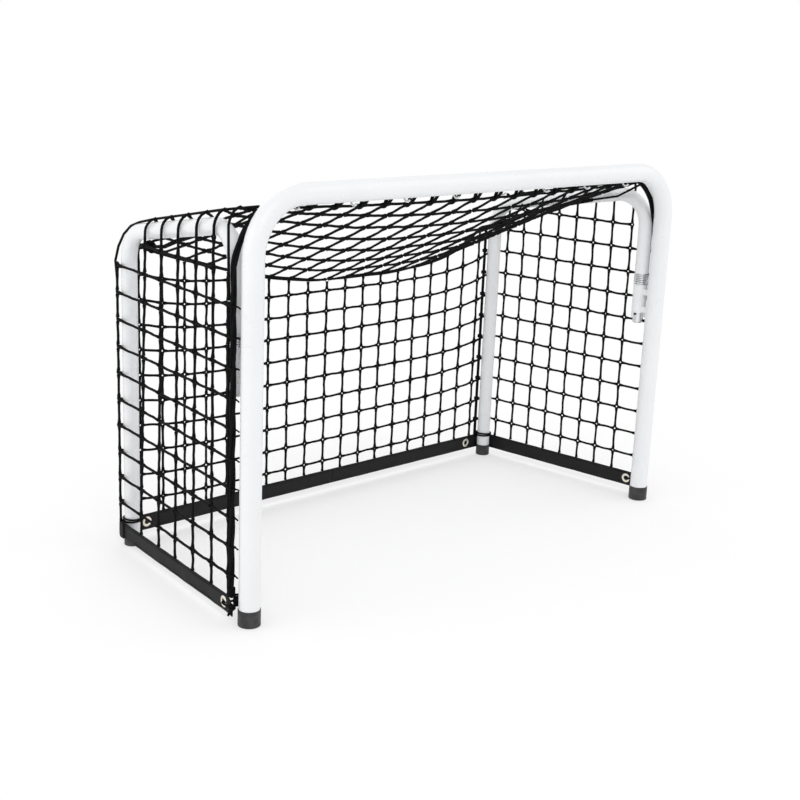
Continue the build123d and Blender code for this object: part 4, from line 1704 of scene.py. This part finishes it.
@dataclass(frozen=True)
class Ties:
    """The cords that hold the hem to the posts, the knots at the corners, and the springs."""

    shop: Workshop
    front_radius: float = 0.00175
    rear_radius: float = 0.0015

    def knot_line(self, centre: Vector, size: float, turn: float, steps: int = 36) -> Chain:
        """A closed overhand knot.

        Args:
            centre: Its middle.
            size: Half its width.
            turn: How far it is turned about the upright, in radians.
            steps: Points on it.

        Returns:
            Its points.
        """
        spin = Matrix.Rotation(turn, 3, "Z") @ Matrix.Rotation(turn * 0.7, 3, "X")
        chain = []
        for number in range(steps):
            angle = math.tau * number / steps
            round_it = 2 + math.cos(3 * angle)
            point = Vector((round_it * math.cos(2 * angle), round_it * math.sin(2 * angle), math.sin(3 * angle)))
            chain.append(centre + spin @ (point * (size / 3)))
        return chain

    def front(self, side: Side) -> None:
        """Make and dress a front tie: a loop through the eyelet and the staple, its knot and its tails."""
        shop, lay = self.shop, self.shop.layout
        low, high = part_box(f"{side.label}_post_staple")
        staple = (Vector(low) + Vector(high)) / 2
        low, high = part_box(f"{side.label}_front_eyelet")
        eyelet = (Vector(low) + Vector(high)) / 2
        out = lay.outwards(side)
        back = Vector((-side.value * math.sin(lay.toe), math.cos(lay.toe), 0))
        corners = [
            eyelet + out * 0.0052,
            eyelet + out * 0.0050 - back * 0.012,
            eyelet + out * 0.0046 - back * 0.0265,
            staple + Vector((side.value * 0.001, -0.0035, 0.001)) - out * 0.0045,
            staple + back * 0.004 - out * 0.006,
            eyelet - out * 0.0060 - back * 0.006,
            eyelet - out * 0.0045 - back * 0.0005,
        ]
        draft = Draft()
        draft.line(self.rounded(corners), closed=True)
        knot = eyelet + out * 0.0040 - back * 0.0262 + Vector((0, 0, 0.002))
        draft.line(self.knot_line(knot, 0.0052, 0.6), closed=True)
        for turn in range(5):
            height = 0.0032 * (turn - 2)
            wide = 0.0046 - 0.0003 * abs(turn - 2)
            ring = [
                staple + Vector((math.cos(math.tau * step / 12) * wide, math.sin(math.tau * step / 12) * wide, height))
                for step in range(12)
            ]
            draft.line(ring, closed=True)
        for drop, swing in ((-0.013, 0.003), (-0.010, -0.004)):
            tail = [knot, knot + Vector((side.value * 0.002, swing * 0.5, drop * 0.5))]
            tail.append(knot + Vector((side.value * 0.003, swing, drop)))
            draft.line(tail)
        tie = shop.cords.run(
            draft.model(f"{side.label}_front_tie_cord"), shop.finishes["black_cord"], Radius=self.front_radius
        )
        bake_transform(tie)
        declared(tie, "black_cord", f"{side.label}_front_tie")

    def rounded(self, corners: Chain, passes: int = 3) -> Chain:
        """Round a closed line by cutting its corners.

        Args:
            corners: Its points.
            passes: How often its corners are cut.

        Returns:
            The rounder line.
        """
        for _ in range(passes):
            finer: Chain = []
            for here, there in zip(corners, [*corners[1:], corners[0]]):
                finer.extend((here.lerp(there, 0.25), here.lerp(there, 0.75)))
            corners = finer
        return corners

    def rear(self, side: Side) -> None:
        """Make and dress a rear tie: two turns round the post and a small knot behind it."""
        shop = self.shop
        low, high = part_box(f"{side.label}_rear_tie")
        centre = (Vector(low) + Vector(high)) / 2
        draft = Draft()
        for height, lean in ((-0.0016, 0.0005), (0.0016, -0.0006)):
            ring = []
            for step in range(28):
                angle = math.tau * step / 28
                lift = Vector((0, 0, height + lean * math.cos(angle)))
                ring.append(centre + Vector((math.cos(angle), math.sin(angle), 0)) * 0.0138 + lift)
            draft.line(ring, closed=True)
        knot = centre + Vector((-side.value * 0.0125, 0.0105, 0))
        draft.line(self.knot_line(knot, 0.0034, 1.1), closed=True)
        tie = shop.cords.run(
            draft.model(f"{side.label}_rear_tie_cord"), shop.finishes["black_cord"], Radius=self.rear_radius
        )
        carried(tie, "black_cord", side.swivel, f"{side.label}_rear_tie")

    def corner(self, side: Side) -> None:
        """Make and dress the gathered bunch of net inside the rear bend of a bow."""
        shop = self.shop
        centre = shop.layout.bunch(side)
        draft = Draft()
        chance = random.Random(20 + side.value)
        for number in range(4):
            shift = Vector((chance.uniform(-1, 1), chance.uniform(-1, 1), chance.uniform(-0.4, 0.6))) * 0.005
            draft.line(self.knot_line(centre + shift, 0.0078, number * 1.3), closed=True)
        bunch = shop.cords.run(draft.model(f"{side.label}_corner_bunch"), shop.finishes["black_cord"], Radius=0.0017)
        carried(bunch, "black_cord", side.swivel)

    def spring(self, side: Side) -> None:
        """Make and dress a spring. The real one shortens as its bow is pressed down; this one is not made to."""
        shop = self.shop
        node = f"{side.label}_spring"
        low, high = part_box(node)
        wire = 0.001
        middle = (Vector(low) + Vector(high)) / 2
        piece = solid(f"{node}_coil", [Vector((0, 0, 0))], [])
        shop.coil.run(
            piece,
            shop.finishes["zinc_steel"],
            Radius=wire,
            Height=high[2] - low[2] - 2 * wire,
            X=middle.x,
            Y=middle.y,
            Z=low[2] + wire,
        )
        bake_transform(piece)
        declared(piece, "zinc_steel", node)

    def build(self) -> None:
        """Make and dress them all."""
        for side in Side:
            self.front(side)
            self.rear(side)
            self.corner(side)
            self.spring(side)


@dataclass(frozen=True)
class Studio:
    """The floor, the white background, the lamps and the camera."""

    eye: tuple[float, float, float] = (-1.46453, -1.53625, 0.79019)
    azimuth: float = math.radians(-43.668)
    elevation: float = math.radians(15.251)
    roll: float = math.radians(2.386)
    lens: float = 60.380
    sensor: float = 36.0

    def camera(self) -> None:
        """Set up the camera at the photograph's place."""
        data = bpy.data.cameras.new("camera")
        data.lens, data.sensor_width, data.clip_start = self.lens, self.sensor, 0.05
        camera = bpy.data.objects.new("camera", data)
        bpy.context.scene.collection.objects.link(camera)
        turn, lift = self.azimuth, self.elevation
        back = Vector((math.sin(turn) * math.cos(lift), -math.cos(turn) * math.cos(lift), math.sin(lift)))
        right = (-back).cross(Vector((0, 0, 1))).normalized()
        up = right.cross(-back)
        across = right * math.cos(self.roll) + up * math.sin(self.roll)
        above = up * math.cos(self.roll) - right * math.sin(self.roll)
        place = Matrix((across, above, back)).transposed().to_4x4()
        place.translation = self.eye
        camera.matrix_world = place
        bpy.context.scene.camera = camera

    def lamp(self, name: str, place: tuple[float, float, float], size: float, power: float) -> None:
        """Add a soft lamp that points at the goal.

        Args:
            name: Its name.
            place: Where it is.
            size: Its width.
            power: Its power in watts.
        """
        data = bpy.data.lights.new(name, "AREA")
        data.shape, data.size, data.energy = "DISK", size, power
        lamp = bpy.data.objects.new(name, data)
        lamp.location = place
        lamp.rotation_euler = (Vector((0, 0, 0.25)) - Vector(place)).to_track_quat("-Z", "Y").to_euler()
        bpy.context.scene.collection.objects.link(lamp)

    def background(self) -> None:
        """White where it is seen, softer where it only lights."""
        world = bpy.data.worlds.new("studio")
        world.use_nodes = True
        bpy.context.scene.world = world
        tree = world.node_tree
        path = tree.nodes.new("ShaderNodeLightPath")
        seen = tree.nodes.new("ShaderNodeMath")
        seen.operation = "MAXIMUM"
        tree.links.new(path.outputs["Is Camera Ray"], seen.inputs[0])
        tree.links.new(path.outputs["Is Transmission Ray"], seen.inputs[1])
        strength = tree.nodes.new("ShaderNodeMapRange")
        strength.inputs["To Min"].default_value = 0.91
        strength.inputs["To Max"].default_value = 1.0
        tree.links.new(seen.outputs[0], strength.inputs["Value"])
        shine = tree.nodes["Background"]
        shine.inputs["Color"].default_value = (1, 1, 1, 1)
        tree.links.new(strength.outputs[0], shine.inputs["Strength"])

    def build(self) -> None:
        """Make the whole studio."""
        half = 12.0
        corners = [Vector((x, y, -0.0004)) for x, y in ((-half, -half), (half, -half), (half, half), (-half, half))]
        floor = solid("floor", corners, [(0, 1, 2, 3)])
        floor.data.materials.append(PaleFloor().make())
        self.background()
        self.lamp("key", (-1.6, -2.6, 3.0), 2.8, 20.0)
        self.lamp("side", (-3.0, 0.6, 1.5), 2.6, 14.0)
        self.lamp("fill", (2.6, -1.8, 2.2), 2.8, 12.0)
        self.lamp("rim", (0.6, 2.8, 2.6), 2.6, 12.0)
        self.camera()
        bpy.context.scene.view_settings.view_transform = "Standard"


def main() -> None:
    """Load the frame, then build and dress every sub-assembly in order."""
    logging.basicConfig(level=logging.INFO, format="%(name)s: %(message)s", force=True)
    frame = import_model()
    shop = Workshop.open(frame)
    Studio().build()
    TubeWork.read(shop, frame).dress(frame)
    Netting(shop).build()
    MouthRope(shop).build()
    Hem(shop).build()
    Ties(shop).build()


if __name__ == "__main__":
    main()
